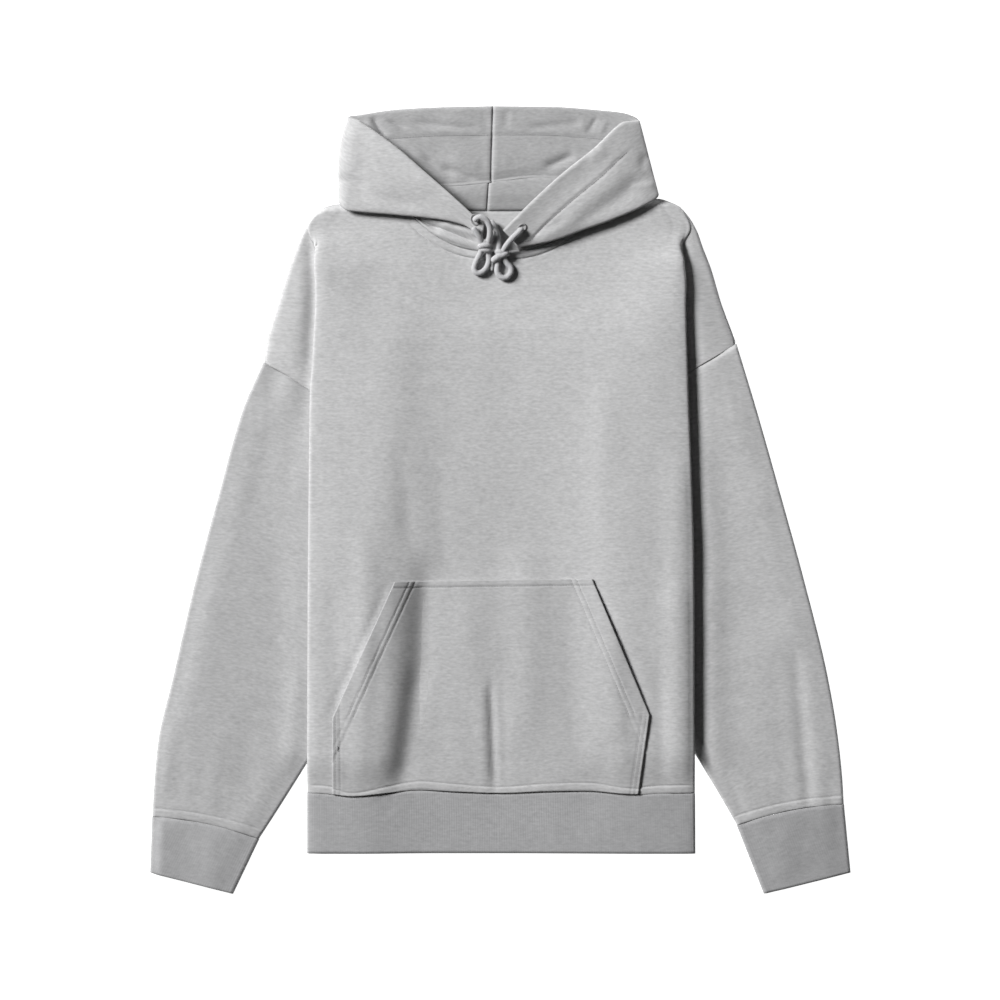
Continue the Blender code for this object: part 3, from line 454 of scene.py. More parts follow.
# Shoulder line of the front, outward from the middle
TopLine = namedtuple("TopLine", "x y")
SHOULDER = {
    "right": [TopLine(101, 314.6), TopLine(150, 314.8), TopLine(170, 314.0), TopLine(187, 309.3),
              TopLine(194.4, 302.9), TopLine(198.6, 296.5), TopLine(203.9, 288.1)],
    "left": [TopLine(101, 314.6), TopLine(150, 318.5), TopLine(174, 319.5), TopLine(186, 314.6),
             TopLine(194.6, 309.3), TopLine(204.2, 296.5), TopLine(208.6, 288.1)],
}

# Armhole seam from the shoulder point, on the outline, to the armpit hidden in the tuck
Armhole = namedtuple("Armhole", "x y")
ARMHOLE = {
    "right": [Armhole(248.5, 146.0), Armhole(246.5, 144.8), Armhole(243.0, 142.6), Armhole(229.4, 135.4),
              Armhole(211.4, 123.8), Armhole(197.6, 115.0), Armhole(168.0, 83.0), Armhole(136.0, 10.0),
              Armhole(118.5, ARMPIT_Y)],
    "left": [Armhole(251.9, 165.1), Armhole(249.9, 163.8), Armhole(246.4, 161.6), Armhole(229.6, 151.3),
             Armhole(211.0, 140.8), Armhole(197.0, 131.0), Armhole(167.0, 92.0), Armhole(137.0, 14.0),
             Armhole(119.5, ARMPIT_Y)],
}

# Columns of a half panel, from the middle: over the body, round its fold, along the tuck, round the hidden
# fold, out of the tuck and on to the outline
ACROSS, TURN, UNDER, SLOPE, OUT = 52, 10, 6, 8, 20
COLUMNS = ACROSS + 2 * TURN + UNDER + SLOPE + OUT + 1
CONTROLS = 7


def through(rows, along, value, at):
    """Smooth curve of one column of a table against another, whose values may run down or up."""
    order = rows if getattr(rows[0], along) < getattr(rows[-1], along) else rows[::-1]
    return curve([getattr(r, along) for r in order], [getattr(r, value) for r in order], at)


def inside(side, x, y):
    """One over the tucked side of the body, zero out on the table beside it."""
    edge = through(SIDES[side], "y", "edge", y)
    return 1.0 - smooth(x, edge - 8.0, edge + 10.0)


def upper_height(side, x, y):
    """Middle of the top wall of a shoulder, at x outward from the middle of the garment."""
    fold = through(SIDES[side], "y", "fold", y)
    tucked = mix(PUFF, FLOOR + 2 * ROLL + SLEEVE_STEP, fold)
    inset = through(SIDES[side], "y", "outline", y) - x
    near = np.clip(inset, 0.0, RIM)
    puffed = FLOOR + RIM + np.sqrt(RIM**2 - (RIM - near) ** 2)
    puffed = puffed + (PUFF - FLOOR - 2 * RIM) * smooth(inset, RIM, 26.0)
    return mix(puffed, tucked, inside(side, x, y))


def lower_height(side, x, y):
    """Middle of the bottom wall of a shoulder."""
    return FLOOR + 2 * ROLL * through(SIDES[side], "y", "fold", y) * inside(side, x, y)


def tuck_heights(side, y):
    """Heights at a side of the body: back tuck, front tuck and front panel over it."""
    fold = through(SIDES[side], "y", "fold", y)
    sleeve = through(SIDES[side], "y", "sleeve", y)
    back_tuck = FLOOR + ROLL * fold
    front_tuck = mix(PUFF, back_tuck + ROLL + (ROLL + SLEEVE_STEP) * sleeve, fold)
    return back_tuck, front_tuck, front_tuck + EDGE_LIFT * fold


# Share of the front's rise over its tucked sides that is steep, by distance below the middle of the garment
STEEPNESS = {
    "right": {-160: 0.3, -60: 0.5, 0: 0.65, 64: 0.8, 125: 0.95, 200: 1.0, 300: 0.95},
    "left": {-160: 0.5, 0: 0.85, 60: 0.7, 300: 0.6},
}
STEEP_REACH = {"right": (40.0, 10.0), "left": (44.0, 14.0)}
CHEST_SWELL = 4.0  # how far the chest stands up between the neck and the waist


def front_height(side, x, y):
    """Middle of the front panel: level along the middle, rising over the tucked sides."""
    seam = through(SIDES[side], "y", "seam", y)
    edge = np.minimum(through(SIDES[side], "y", "edge", y), seam + 85.0)
    inner = np.minimum(seam, edge)
    share = curve(list(STEEPNESS[side]), list(STEEPNESS[side].values()), -y)
    near, far = STEEP_REACH[side]
    rise = mix(smooth(x, 6.0, inner - 2.0), smooth(x, inner - near, inner + far), share)
    spread = mix(PUFF, tuck_heights(side, 150.0)[2], smooth(-y, -330.0, -150.0))
    top = mix(spread, tuck_heights(side, y)[2], smooth(x, inner - 80.0, inner - 10.0))
    swell = CHEST_SWELL * smooth(y, -90.0, 60.0) * (1.0 - smooth(y, 165.0, 225.0))
    return mix(CENTRE + swell, top, rise)


def section(side, y, front, attached):
    """Control points of half a row of a panel, from the middle to its edge, as (x outward, z)."""
    edge = through(SIDES[side], "y", "edge", y) - (0.0 if front else BACK_INSET * smooth(-y, -288.0, -225.0))
    seam = through(SIDES[side], "y", "seam", y)
    back_tuck, front_tuck, front_top = tuck_heights(side, y)
    overlap = edge - seam
    turned = smooth(overlap, -6.0, 8.0)
    height = upper_height if front else lower_height
    first, second = (front_top, front_tuck) if front else (FLOOR, back_tuck)
    third = height(side, seam, y)
    bulge = 1.4 * turned
    half_back = min(overlap / 2.0, 8.0)
    droop = 0.8 * through(SIDES[side], "y", "fold", y) if front else 0.0
    points = []
    for k in range(CONTROLS):
        x = (edge - 12.0) * k / (CONTROLS - 1)
        points.append((x, front_height(side, x, y) if front else FLOOR))
    points += [
        (edge - 6.0, first - 0.3 * droop),
        (edge - 1.0, first - droop),
        (edge + bulge, mix(first, second, 0.35)),
        (edge + bulge, mix(first, second, 0.8)),
        (mix(edge + 0.8, edge - 1.5, turned), second),
        (edge - half_back, second),
        (seam + half_back, second),
    ]
    if not attached:
        turn_in = max((front_tuck - back_tuck) / 2.0 - HIDDEN_GAP, 0.4)
        down = -turn_in if front else turn_in
        return points + [(seam, second), (seam - 0.7 * turn_in, second + 0.15 * down),
                         (seam - turn_in, second + 0.5 * down), (seam - turn_in, second + down)]
    points += [
        (mix(seam - 0.8, seam + 1.0, turned), second),
        (seam - 2.0 * turned, mix(second, third, 0.15)),
        (seam - 2.0 * turned, mix(second, third, 0.85)),
        (mix(seam + 0.8, seam + 1.0, turned), third),
    ]
    if y > ARMHOLE[side][0].y:
        end = through(SIDES[side], "y", "outline", y)
    else:
        end = through(ARMHOLE[side], "y", "x", y)
    stops = [mix(seam, max(min(edge, end), seam), t) for t in (0.5, 1.0)]
    stops += [mix(stops[-1], max(end, stops[-1]), t) for t in (0.12, 0.3, 0.55, 0.8, 0.94, 1.0)]
    return points + [(x, height(side, x, y)) for x in stops]


def section_row(side, y, front, attached=True):
    """The points of half a row, shared out so that each fold keeps its own columns."""
    path, spans = spline(section(side, y, front, attached))
    run = np.concatenate([[0.0], np.cumsum(np.linalg.norm(np.diff(path, axis=0), axis=1))])
    roll, tuck, turn, slope = (CONTROLS + k for k in (4.4, 6.2, 10.4, 11.8))
    if attached:
        stops = [0, CONTROLS, roll, tuck, turn, slope, spans[-1]]
        counts = [ACROSS, TURN, UNDER, TURN, SLOPE, OUT]
        least = np.array([8.8, 8.8, 4.4, 8.8, 1.0, 1.5])
    else:
        stops, counts = [0, CONTROLS, roll, tuck, spans[-1]], [ACROSS, TURN, UNDER, TURN // 2]
        least = np.array([8.8, 8.8, 4.4, 4.4])
    lengths = np.diff(np.interp(stops, spans, run))
    if attached:
        last = lengths[4] + lengths[5]
        lengths[4] = min(lengths[4], last * SLOPE / (SLOPE + OUT))
        lengths[5] = last - lengths[4]
    wanted = np.maximum(lengths, least)
    wanted[0] = lengths[0] - (wanted[1] - lengths[1])
    wanted[2] += run[-1] - wanted.sum()
    if wanted[2] < least[2]:
        wanted[0] -= least[2] - wanted[2]
        wanted[2] = least[2]
    places = [0.0]
    for length, count in zip(wanted, counts):
        places += [places[-1] + length / count * (i + 1) for i in range(count)]
    places[-1] = run[-1]
    row = np.full((COLUMNS, 2), np.nan)
    for k in range(2):
        row[:len(places), k] = np.interp(places, run, path[:, k])
    return row


def top_line(side, x, front):
    """Upper edge of the front or back panel at x outward from the middle."""
    drop, power = (FRONT_NECK_DROP, FRONT_NECK_POWER) if front else (BACK_NECK_DROP, BACK_NECK_POWER)
    neck = NECK_TOP - drop * (1.0 - (np.clip(x / NECK_HALF, 0.0, 1.0)) ** power)
    return np.where(x < NECK_HALF, neck, through(SHOULDER[side], "x", "y", x))


def panel(front):
    """Grid of points of the whole front or back panel, from right to left, top to hem."""
    halves = {}
    levels = np.arange(322.0, HEM_SEAM_Y - 4.0, -3.0)
    rows_down = {}
    for side in BOTH_SIDES:
        shoulder_end = ARMHOLE[side][0].y
        start = SHOULDER[side][-1].y
        rows_down[side] = np.concatenate([
            np.linspace(start, start - CLOSE_ROWS, 15)[:-1],
            np.linspace(start - CLOSE_ROWS, shoulder_end, 34)[:-1],
            np.linspace(shoulder_end, ARMPIT_Y, 54)[:-1],
            np.linspace(ARMPIT_Y, HEM_SEAM_Y + CLOSE_ROWS, 58)[:-1],
            np.linspace(HEM_SEAM_Y + CLOSE_ROWS, HEM_SEAM_Y + SEAM_GAP / 2.0, 16),
        ])
    for side, other in (("right", "left"), ("left", "right")):
        whole = np.array([section_row(side, y, front, True) for y in levels])
        cut = np.array([section_row(side, y, front, False) for y in levels])
        start = rows_down[side][0]
        grid = np.full((len(rows_down[side]), COLUMNS, 3), np.nan)
        for i in range(COLUMNS):
            top = start
            for _ in range(6):
                x = np.interp(-min(top, NECK_TOP), -levels, whole[:, i, 0])
                top = float(top_line(side, x, front))
            if i == COLUMNS - 1:
                top = start
            own = 0.5 + 0.5 * min(i / (ACROSS + TURN), 1.0)
            level = mix(rows_down[other], rows_down[side], own)
            drop = (start - level) / (start - ARMPIT_Y)
            y = level + (top - start) * np.maximum(1.0 - drop, 0.0) ** 2
            for attached, source in ((True, whole), (False, cut)):
                chosen = (level >= ARMPIT_Y - 0.01) == attached
                for k in (0, 1):
                    grid[chosen, i, 2 * k] = np.interp(-y[chosen], -levels, source[:, i, k])
            grid[:, i, 1] = y
            if front:
                roll = smooth(grid[:, i, 0], NECK_HALF - 8.0, NECK_HALF + 10.0) * smooth(y, top - 9.0, top)
                grid[:, i, 2] -= roll * np.maximum(grid[:, i, 2] - FLOOR - RIM, 0.0)
        grid[np.isnan(grid[:, :, 0])] = np.nan
        grid[:, :, 0] *= SIGN[side]
        halves[side] = grid
    return np.concatenate([halves["right"][:, ::-1], halves["left"][:, 1:]], axis=1)


# A crease is a soft ridge (height above zero) or trough (below) along a line that may bow to one side
Crease = namedtuple("Crease", "x0 y0 x1 y1 width height bow", defaults=(0.0,))


def creased(creases, x, y):
    """Height that the creases add at each point."""
    total = np.zeros_like(x)
    for c in creases:
        run = math.hypot(c.x1 - c.x0, c.y1 - c.y0)
        ux, uy = (c.x1 - c.x0) / run, (c.y1 - c.y0) / run
        t = ((x - c.x0) * ux + (y - c.y0) * uy) / run
        across = (x - c.x0) * -uy + (y - c.y0) * ux - c.bow * 4.0 * t * (1.0 - t)
        fade = smooth(t, -0.12, 0.22) * (1.0 - smooth(t, 0.78, 1.12))
        total += c.height * fade * np.exp(-(across / c.width) ** 2)
    return total


def groove(distance, width=1.0):
    """A rounded dip, one deep, along the line where the distance is zero."""
    return -np.exp(-(distance / width) ** 2)


def wander(x, y, size, seed):
    """Smooth uneven height between about -1 and 1, with waves near the given size."""
    draw = np.random.default_rng(seed)
    total = np.zeros_like(x)
    for _ in range(9):
        angle = draw.uniform(0, math.pi)
        length = draw.uniform(0.7, 1.8) * size
        phase = draw.uniform(0, 2 * math.pi)
        total += np.sin((x * math.cos(angle) + y * math.sin(angle)) * 2 * math.pi / length + phase)
    return total / 4.5


def cloth_mesh(name, grid, closed=False, grain="upright"):
    """Quads over a grid of points, with a UV map in metres: across the cloth's courses, then along them."""
    rows, columns = grid.shape[:2]
    there = ~np.isnan(grid[:, :, 0])
    number = np.cumsum(there.reshape(-1)).reshape(rows, columns) - 1
    wide = np.concatenate([grid, grid[:, :1]], axis=1) if closed else grid
    across = np.nan_to_num(np.linalg.norm(np.diff(wide, axis=1), axis=2))
    u = np.concatenate([np.zeros((rows, 1)), np.cumsum(across, axis=1)], axis=1)
    u -= u[:, columns // 2][:, None]
    down = np.nan_to_num(np.linalg.norm(np.diff(wide, axis=0), axis=2))
    v = np.cumsum(down[::-1], axis=0)[::-1]
    v = np.concatenate([v, np.zeros((1, wide.shape[1]))], axis=0)
    if grain == "upright":
        v = np.nan_to_num(wide[:, :, 1])
    if grain == "around":
        u, v = v, u
    faces, uvs = [], []
    for j in range(rows - 1):
        for i in range(columns if closed else columns - 1):
            n = (i + 1) % columns
            if there[j, i] and there[j, n] and there[j + 1, n] and there[j + 1, i]:
                faces.append((number[j, i], number[j + 1, i], number[j + 1, n], number[j, n]))
                uvs += [(u[a, b], v[a, b]) for a, b in ((j, i), (j + 1, i), (j + 1, i + 1), (j, i + 1))]
    mesh = bpy.data.meshes.new(name)
    mesh.from_pydata(in_frame(grid[there]).tolist(), [], [[int(k) for k in f] for f in faces])
    layer = mesh.uv_layers.new(name="UVMap")
    layer.data.foreach_set("uv", (np.array(uvs) * MM).reshape(-1))
    mesh.shade_smooth()
    return mesh


def cloth_piece(name, node, grid, material, wall, closed=False, grain="upright"):
    """A piece of cloth over a grid of points, as thick as its wall, in place of its CAD node."""
    piece = placed(name, cloth_mesh(name, grid, closed, grain), material, node)
    shell = piece.modifiers.new("Wall", "SOLIDIFY")
    shell.thickness = wall * MM
    shell.offset = 0.0
    return piece


WALE_PITCH, COURSE_PITCH, RIB_PITCH = 1.1, 0.8, 2.5
LOOP_HEIGHT, FIBRE_HEIGHT, BLOTCH_HEIGHT = 0.16, 0.9, 1.6
# Uneven colour in patches: their size across and along the cloth, their detail, their place in the noise, and
# their share in the tone
Fleck = namedtuple("Fleck", "across along detail seed share")
FIBRES = Fleck(7.5, 2.6, 2.0, 1.0, 0.5)
SPECKS = Fleck(4.0, 1.7, 1.0, 2.0, 0.26)
BLOTCH = Fleck(24.0, 12.0, 2.0, 3.0, 0.2)


def heather(name, colour, fleck=1.0, rib=0.0):
    """Heather jersey: short pale and dark fibres along the courses, a fine knit and a soft uneven surface."""
    material = bpy.data.materials.new(name)
    material.use_nodes = True
    tree = material.node_tree
    shader = tree.nodes["Principled BSDF"]
    shader.inputs["Roughness"].default_value = 0.93
    shader.inputs["Sheen Weight"].default_value = 0.12
    shader.inputs["Sheen Roughness"].default_value = 0.6
    uv = tree.nodes.new("ShaderNodeUVMap")
    uv.uv_map = "UVMap"

    def noise(patch):
        """Uneven value about zero, in patches over the cloth."""
        mapping = tree.nodes.new("ShaderNodeMapping")
        mapping.inputs["Scale"].default_value = (1.0 / (patch.across * MM), 1.0 / (patch.along * MM), 1.0)
        mapping.inputs["Location"].default_value = (patch.seed * 3.7, patch.seed * 1.3, patch.seed)
        tree.links.new(uv.outputs["UV"], mapping.inputs["Vector"])
        texture = tree.nodes.new("ShaderNodeTexNoise")
        texture.inputs["Scale"].default_value = 1.0
        texture.inputs["Detail"].default_value = patch.detail
        tree.links.new(mapping.outputs["Vector"], texture.inputs["Vector"])
        return math_node(tree, "SUBTRACT", texture.outputs["Fac"], 0.5)

    fibres, specks, blotch = noise(FIBRES), noise(SPECKS), noise(BLOTCH)
    tone = math_node(tree, "MULTIPLY", fibres, FIBRES.share * fleck)
    tone = math_node(tree, "MULTIPLY_ADD", specks, SPECKS.share * fleck, tone)
    tone = math_node(tree, "MULTIPLY_ADD", blotch, BLOTCH.share * fleck, tone)
    tone = math_node(tree, "ADD", tone, 1.0)
    base = tree.nodes.new("ShaderNodeRGB")
    base.outputs[0].default_value = (*colour, 1.0)
    scale = tree.nodes.new("ShaderNodeVectorMath")
    scale.operation = "SCALE"
    tree.links.new(base.outputs[0], scale.inputs[0])
    tree.links.new(tone, scale.inputs["Scale"])
    tree.links.new(scale.outputs[0], shader.inputs["Base Color"])

    split = tree.nodes.new("ShaderNodeSeparateXYZ")
    tree.links.new(uv.outputs["UV"], split.inputs[0])

    def waves(way, pitch):
        """Even waves one way over the cloth, a pitch in millimetres apart."""
        angle = math_node(tree, "MULTIPLY", split.outputs[way], 2 * math.pi / (pitch * MM))
        return math_node(tree, "SINE", angle)

    loops = math_node(tree, "MULTIPLY", waves("X", WALE_PITCH), waves("Y", COURSE_PITCH))
    stitches = math_node(tree, "MULTIPLY", loops, LOOP_HEIGHT)
    height = math_node(tree, "MULTIPLY_ADD", fibres, FIBRE_HEIGHT, stitches)
    height = math_node(tree, "MULTIPLY_ADD", blotch, BLOTCH_HEIGHT, height)
    if rib:
        height = math_node(tree, "MULTIPLY_ADD", waves("X", RIB_PITCH), rib, height)
    bump = tree.nodes.new("ShaderNodeBump")
    bump.inputs["Strength"].default_value = 0.13
    bump.inputs["Distance"].default_value = 0.0006
    tree.links.new(height, bump.inputs["Height"])
    tree.links.new(bump.outputs["Normal"], shader.inputs["Normal"])
    return material


fleece_grey = heather("Heather fleece", (0.455, 0.455, 0.458))

back_grid = panel(False)
below_neck = back_grid[:1, :, 1] - back_grid[:, :, 1]
neck_band = STITCH_DIP * groove(below_neck - 4.2) - smooth(below_neck, 1.6, 0.0)
back_grid[:, :, 2] += neck_band * (np.abs(back_grid[:, :, 0]) < NECK_HALF)
back_grid[:, :, 2] = np.maximum(back_grid[:, :, 2], FLOOR)
back = cloth_piece("back_panel", "back", back_grid, fleece_grey, FLEECE)

# ---- Front panel
# The same fleece, cut with a deeper neck. It is folded under at both sides over the sleeves, which lift it
# there, and it sinks along the middle, with the soft upright ridges of a garment pulled straight.
front_grid = panel(True)
FRONT_CREASES = [
    Crease(-106, 240, -106, -30, 24, 1.3), Crease(-142, -40, -139, -190, 13, 1.7),
    Crease(-140, -130, -145, -304, 12, 1.5), Crease(-60, -70, -70, -304, 22, -1.8),
    Crease(-104, 60, -94, -50, 10, -1.1), Crease(-76, -66, -86, -200, 14, -2.8),
    Crease(-86, -180, -104, -306, 12, -3.6), Crease(-62, 40, -58, -80, 9, -0.5),
    Crease(-20, 190, -22, 40, 16, 0.3), Crease(16, 190, 20, 40, 14, -0.3),
    Crease(112, 130, 108, -30, 13, 0.9), Crease(140, 170, 138, 40, 14, -0.4),
    Crease(-8, -192, -4, -306, 4.2, -2.9), Crease(4, -200, 6, -306, 6, -1.0),
    Crease(-18, -200, -16, -300, 8, 1.0), Crease(32, -50, 30, -260, 20, 2.4),
    Crease(90, -60, 84, -260, 20, -0.8), Crease(122, -120, 126, -280, 12, 0.8),
    Crease(-30, -90, -26, -230, 18, 0.7), Crease(124, -250, 104, -306, 12, -0.8),
    Crease(150, 262, 172, 140, 14, 0.4), Crease(-150, 262, -172, 150, 14, 0.4),
    Crease(-174, -90, -170, -280, 8, -0.7), Crease(188, 40, 190, -130, 13, 1.8),
    Crease(189, -90, 191, -302, 14, 2.8), Crease(170, -170, 174, -300, 7, -0.9),
    Crease(-168, -210, -160, -300, 6, -0.6), Crease(18, -60, 10, -160, 14, 0.4),
    Crease(-115, -86, -179, -227, 2.6, -1.3), Crease(102, -84, 163, -226, 3.0, -1.0),
    Crease(-60, 262, 10, 228, 14, -0.7), Crease(20, 232, 80, 256, 12, -0.6),
]
SEAM_WAVE = {
    -200: 0.0, -186: -0.6, -155: -4.2, -118: -1.0, -83: 1.8, -45: 0.2, 2: -1.4, 50: 0.6, 92: 1.2, 145: -1.9,
    175: -0.4, 205: 0.0,
}
WAVE_START = -270.0  # the wave of the hem seam fades out upward to this level
HEM_STITCH, NECK_STITCH = 8.2, 8.4  # from each seam to its row of stitches


def seam_wave(x):
    """How far the hem seam wanders from straight."""
    return curve(list(SEAM_WAVE), list(SEAM_WAVE.values()), x)


def front_relief(x, y):
    """Creases and seam ridges of the front panel and what is sewn on it."""
    relief = creased(FRONT_CREASES, x, y) + 0.35 * wander(x, y, 90.0, 4)
    above_seam = y - HEM_SEAM_Y - seam_wave(x) * (y < -250.0)
    relief += SEAM_RAISE * smooth(above_seam, 10.0, 6.0) + STITCH_DIP * groove(above_seam - HEM_STITCH)
    return relief - SEAM_DIP * smooth(above_seam, 1.6, -0.2)


def neck_slope(across):
    """Steepness of the front neckline, at a share of the way out from the middle."""
    return FRONT_NECK_DROP * FRONT_NECK_POWER / NECK_HALF * across ** (FRONT_NECK_POWER - 1.0)


def neck_relief(x, y):
    """Binding band along the front neck seam, with a stitch line at its lower side."""
    across = np.clip(np.abs(x) / NECK_HALF, 0.0, 1.0)
    neckline = NECK_TOP - FRONT_NECK_DROP * (1.0 - across**FRONT_NECK_POWER)
    below = (neckline - y) / np.sqrt(1.0 + neck_slope(across) ** 2)
    relief = 0.6 * smooth(below, 9.8, 7.4) + 1.7 * groove(below - NECK_STITCH, 1.3)
    return (relief - 1.9 * smooth(below, 2.0, 0.0)) * smooth(np.abs(x), NECK_HALF - 4.0, NECK_HALF - 16.0)


# How deep the sleeve sinks beside the body's edge, how wide that trough is, and how far it falls away beyond
Trough = namedtuple("Trough", "y depth width fall")
TROUGHS = {
    "right": [Trough(294, 0.0, 6.0, 0.0), Trough(284, 0.6, 7.0, 0.0), Trough(260, 4.0, 8.0, 0.0),
              Trough(215, 5.2, 9.0, -1.0), Trough(160, 4.6, 9.0, -1.2), Trough(110, 1.8, 7.0, 0.0),
              Trough(60, 0.6, 6.0, 0.5), Trough(-300, 0.6, 6.0, 0.5)],
    "left": [Trough(294, 0.0, 3.0, 0.0), Trough(284, 0.6, 5.0, 0.0), Trough(258, 4.0, 6.0, 0.4),
             Trough(215, 4.8, 7.0, 0.8), Trough(100, 4.8, 8.5, 1.4), Trough(20, 5.2, 11.0, 2.6),
             Trough(-60, 5.6, 13.5, 3.2), Trough(-300, 5.6, 13.5, 3.4)],
}
FALL_REACH = 46.0  # how far out from the body's edge the sleeve goes on falling


def beside_body(side, x, y, inset):
    """Trough of the sleeve and shoulder along the outer side of the body's fold, and their fall beyond it."""
    edge = through(SIDES[side], "y", "edge", y)
    depth, width, fall = (through(TROUGHS[side], "y", part, y) for part in ("depth", "width", "fall"))
    trough = depth * np.exp(-((x - edge - 0.4 * width) / width) ** 2) * smooth(inset, 1.0, 8.0)
    return -fall * smooth(x, edge, edge + FALL_REACH) * smooth(inset, 2.0, 60.0) - trough


def sunk(heights, trough, least):
    """Heights with a trough taken out of them, but nowhere lower than the cloth lying underneath allows."""
    return heights + np.maximum(trough, np.minimum(least - heights, 0.0))


def waved(x, y):
    """Levels moved along with the wave of the hem seam, near it."""
    return y + seam_wave(x) * smooth(-y, -WAVE_START, -HEM_SEAM_Y)


front_grid[:, :, 1] = waved(front_grid[:, :, 0], front_grid[:, :, 1])
column = np.abs(np.arange(2 * COLUMNS - 1) - (COLUMNS - 1))
on_top = 1.0 - smooth(column, ACROSS - 1.0, ACROSS + 5.0)
on_top += smooth(column, COLUMNS - OUT - 3.0, COLUMNS - OUT + 1.0)
fx, fy = front_grid[:, :, 0], front_grid[:, :, 1]
front_grid[:, :, 2] += (front_relief(fx, fy) + neck_relief(fx, fy)) * on_top
outer_part = column[None, :] > ACROSS + 2 * TURN + UNDER
open_fold = np.where(fx < 0, *(through(SIDES[s], "y", "edge", fy) < through(SIDES[s], "y", "seam", fy)
                               for s in BOTH_SIDES))
trough = np.where(fx < 0, beside_body("right", -fx, fy, 60.0), beside_body("left", fx, fy, 60.0))
least = FLOOR + FLEECE + WALL_GAP
front_grid[:, :, 2] = sunk(front_grid[:, :, 2], trough * (outer_part | open_fold), least)
front = cloth_piece("front_panel", "front", front_grid, fleece_grey, FLEECE)

# ---- Sleeves
# Wide one-piece sleeves, each a tube lying flat. They are set in at a dropped armhole, come out from under
# the body's side and narrow to the cuff, with a raised seam band where the cuff is sewn on.
SleeveRing = namedtuple("SleeveRing", "outer_x outer_y inner_x inner_y bow")
SLEEVES = {
    "right": [SleeveRing(270.5, 95.0, 119.0, -95.0, 26.0), SleeveRing(296.0, 5.0, 122.0, -150.0, 14.0),
              SleeveRing(321.0, -88.0, 142.0, -190.0, 6.0), SleeveRing(345.0, -191.0, 171.0, -226.0, 3.0),
              SleeveRing(359.8, -254.7, 203.0, -277.0, 3.0), SleeveRing(364.6, -308.0, 237.0, -331.0, 4.0),
              SleeveRing(366.1, -335.2, 254.8, -358.5, 4.5)],
    "left": [SleeveRing(273.0, 95.0, 120.0, -95.0, 26.0), SleeveRing(298.5, 5.0, 127.0, -150.0, 14.0),
             SleeveRing(324.0, -88.0, 148.0, -190.0, 6.0), SleeveRing(348.0, -186.0, 177.0, -221.0, 3.0),
             SleeveRing(358.9, -250.0, 209.0, -268.0, 3.0), SleeveRing(363.8, -296.0, 239.0, -318.0, 4.0),
             SleeveRing(365.3, -322.1, 254.0, -344.2, 4.5)],
}
LYING = 1.3  # middle of a sleeve's lower wall above the table
SLEEVE_CREASES = {
    "right": [
        Crease(-216, 222, -246, 96, 8, -2.2), Crease(-204, 200, -222, 90, 8, 1.2),
        Crease(-240, 90, -262, -20, 12, -0.8), Crease(-352, -215, -361, -330, 8, 1.7),
        Crease(-335, -240, -341, -325, 8, -0.8), Crease(-304, -60, -334, -300, 36, 1.6),
        Crease(-212, -180, -222, -290, 9, 1.2), Crease(-258, -220, -270, -330, 14, -0.8),
        Crease(-226, 60, -232, -60, 12, 0.5), Crease(-298, -250, -306, -335, 12, 0.9),
        Crease(-318, -60, -334, -180, 12, -0.6),
    ],
    "left": [
        Crease(314, -150, 331, -342, 6, -1.7), Crease(304, -170, 318, -340, 8, 0.5),
        Crease(262, 110, 292, -20, 14, 0.5), Crease(244, 70, 252, -70, 14, 0.3),
        Crease(280, -120, 292, -300, 22, 1.2), Crease(350, -290, 356, -330, 6, -0.6),
        Crease(240, -280, 262, -338, 7, -0.8),
    ],
}
SLEEVE_SEED = {"right": 7, "left": 11}
SLEEVE_STITCH = 8.6  # from the cuff's seam to its row of stitches
SLEEVE_STEPS = 44  # points across each wall
SEAM_START = 0.965  # share of a sleeve's length where its rings draw closer for the seam band
SLEEVE_LEVELS = np.concatenate([np.linspace(0.0, SEAM_START, 96), np.linspace(SEAM_START, 1.0, 17)[1:]])


def lying_heights(side, x, y, inset):
    """Middle heights of both walls of a flattened tube, drawn together round its folds."""
    edge = through(SIDES[side], "y", "edge", y)
    slack = smooth(-y, -120.0, 20.0)
    start, stop = edge + mix(-8.0, -2.0, slack), edge + mix(10.0, 38.0, slack)
    above_hem = 1.0 - smooth(-y, 262.0, 292.0)
    over_body = (1.0 - smooth(x, start, stop)) * above_hem
    under_body = (1.0 - smooth(x, edge - 12.0, edge + 6.0)) * above_hem
    base = LYING + 2 * ROLL * over_body
    floor = LYING + 2 * ROLL * mix(over_body, under_body, smooth(inset, 2.0, 20.0))
    narrow = mix(2 * RIM, SLEEVE_STEP, over_body)
    full = mix(PUFF - LYING, SLEEVE_STEP, over_body)
    near = np.clip(inset, 0.0, RIM)
    half = np.sqrt(RIM**2 - (RIM - near) ** 2) / RIM * narrow / 2.0
    low = floor + narrow / 2.0 - half
    high = base + narrow / 2.0 + half + (full - narrow) * smooth(inset, RIM, 26.0)
    return high, low


def even_line(corners, count, bend=RIM):
    """Points along a line of corners, even but closer at both ends, where the cloth turns."""
    run = np.concatenate([[0.0], np.cumsum(np.linalg.norm(np.diff(corners, axis=0), axis=1))])
    close = bend * np.array([0.0, 0.08, 0.25, 0.5, 0.8, 1.2])
    inner = np.linspace(1.2 * bend, run[-1] - 1.2 * bend, count - 10)[1:-1]
    places = np.concatenate([close, inner, run[-1] - close[::-1]])
    smooth_line = [curve(run, corners[:, k], places) for k in (0, 1)]
    return np.stack(smooth_line, axis=1)


def bowed_line(outer, inner, bow, count):
    """The plan of one ring, from the outer fold to the inner one."""
    outer, inner = np.array(outer), np.array(inner)
    along = (inner - outer) / np.linalg.norm(inner - outer)
    across = np.array([-along[1], along[0]]) * (1.0 if along[0] > 0 else -1.0)
    t = np.linspace(0.0, 1.0, 30)[:, None]
    return even_line(outer + (inner - outer) * t + across * bow * 4.0 * t * (1.0 - t), count)


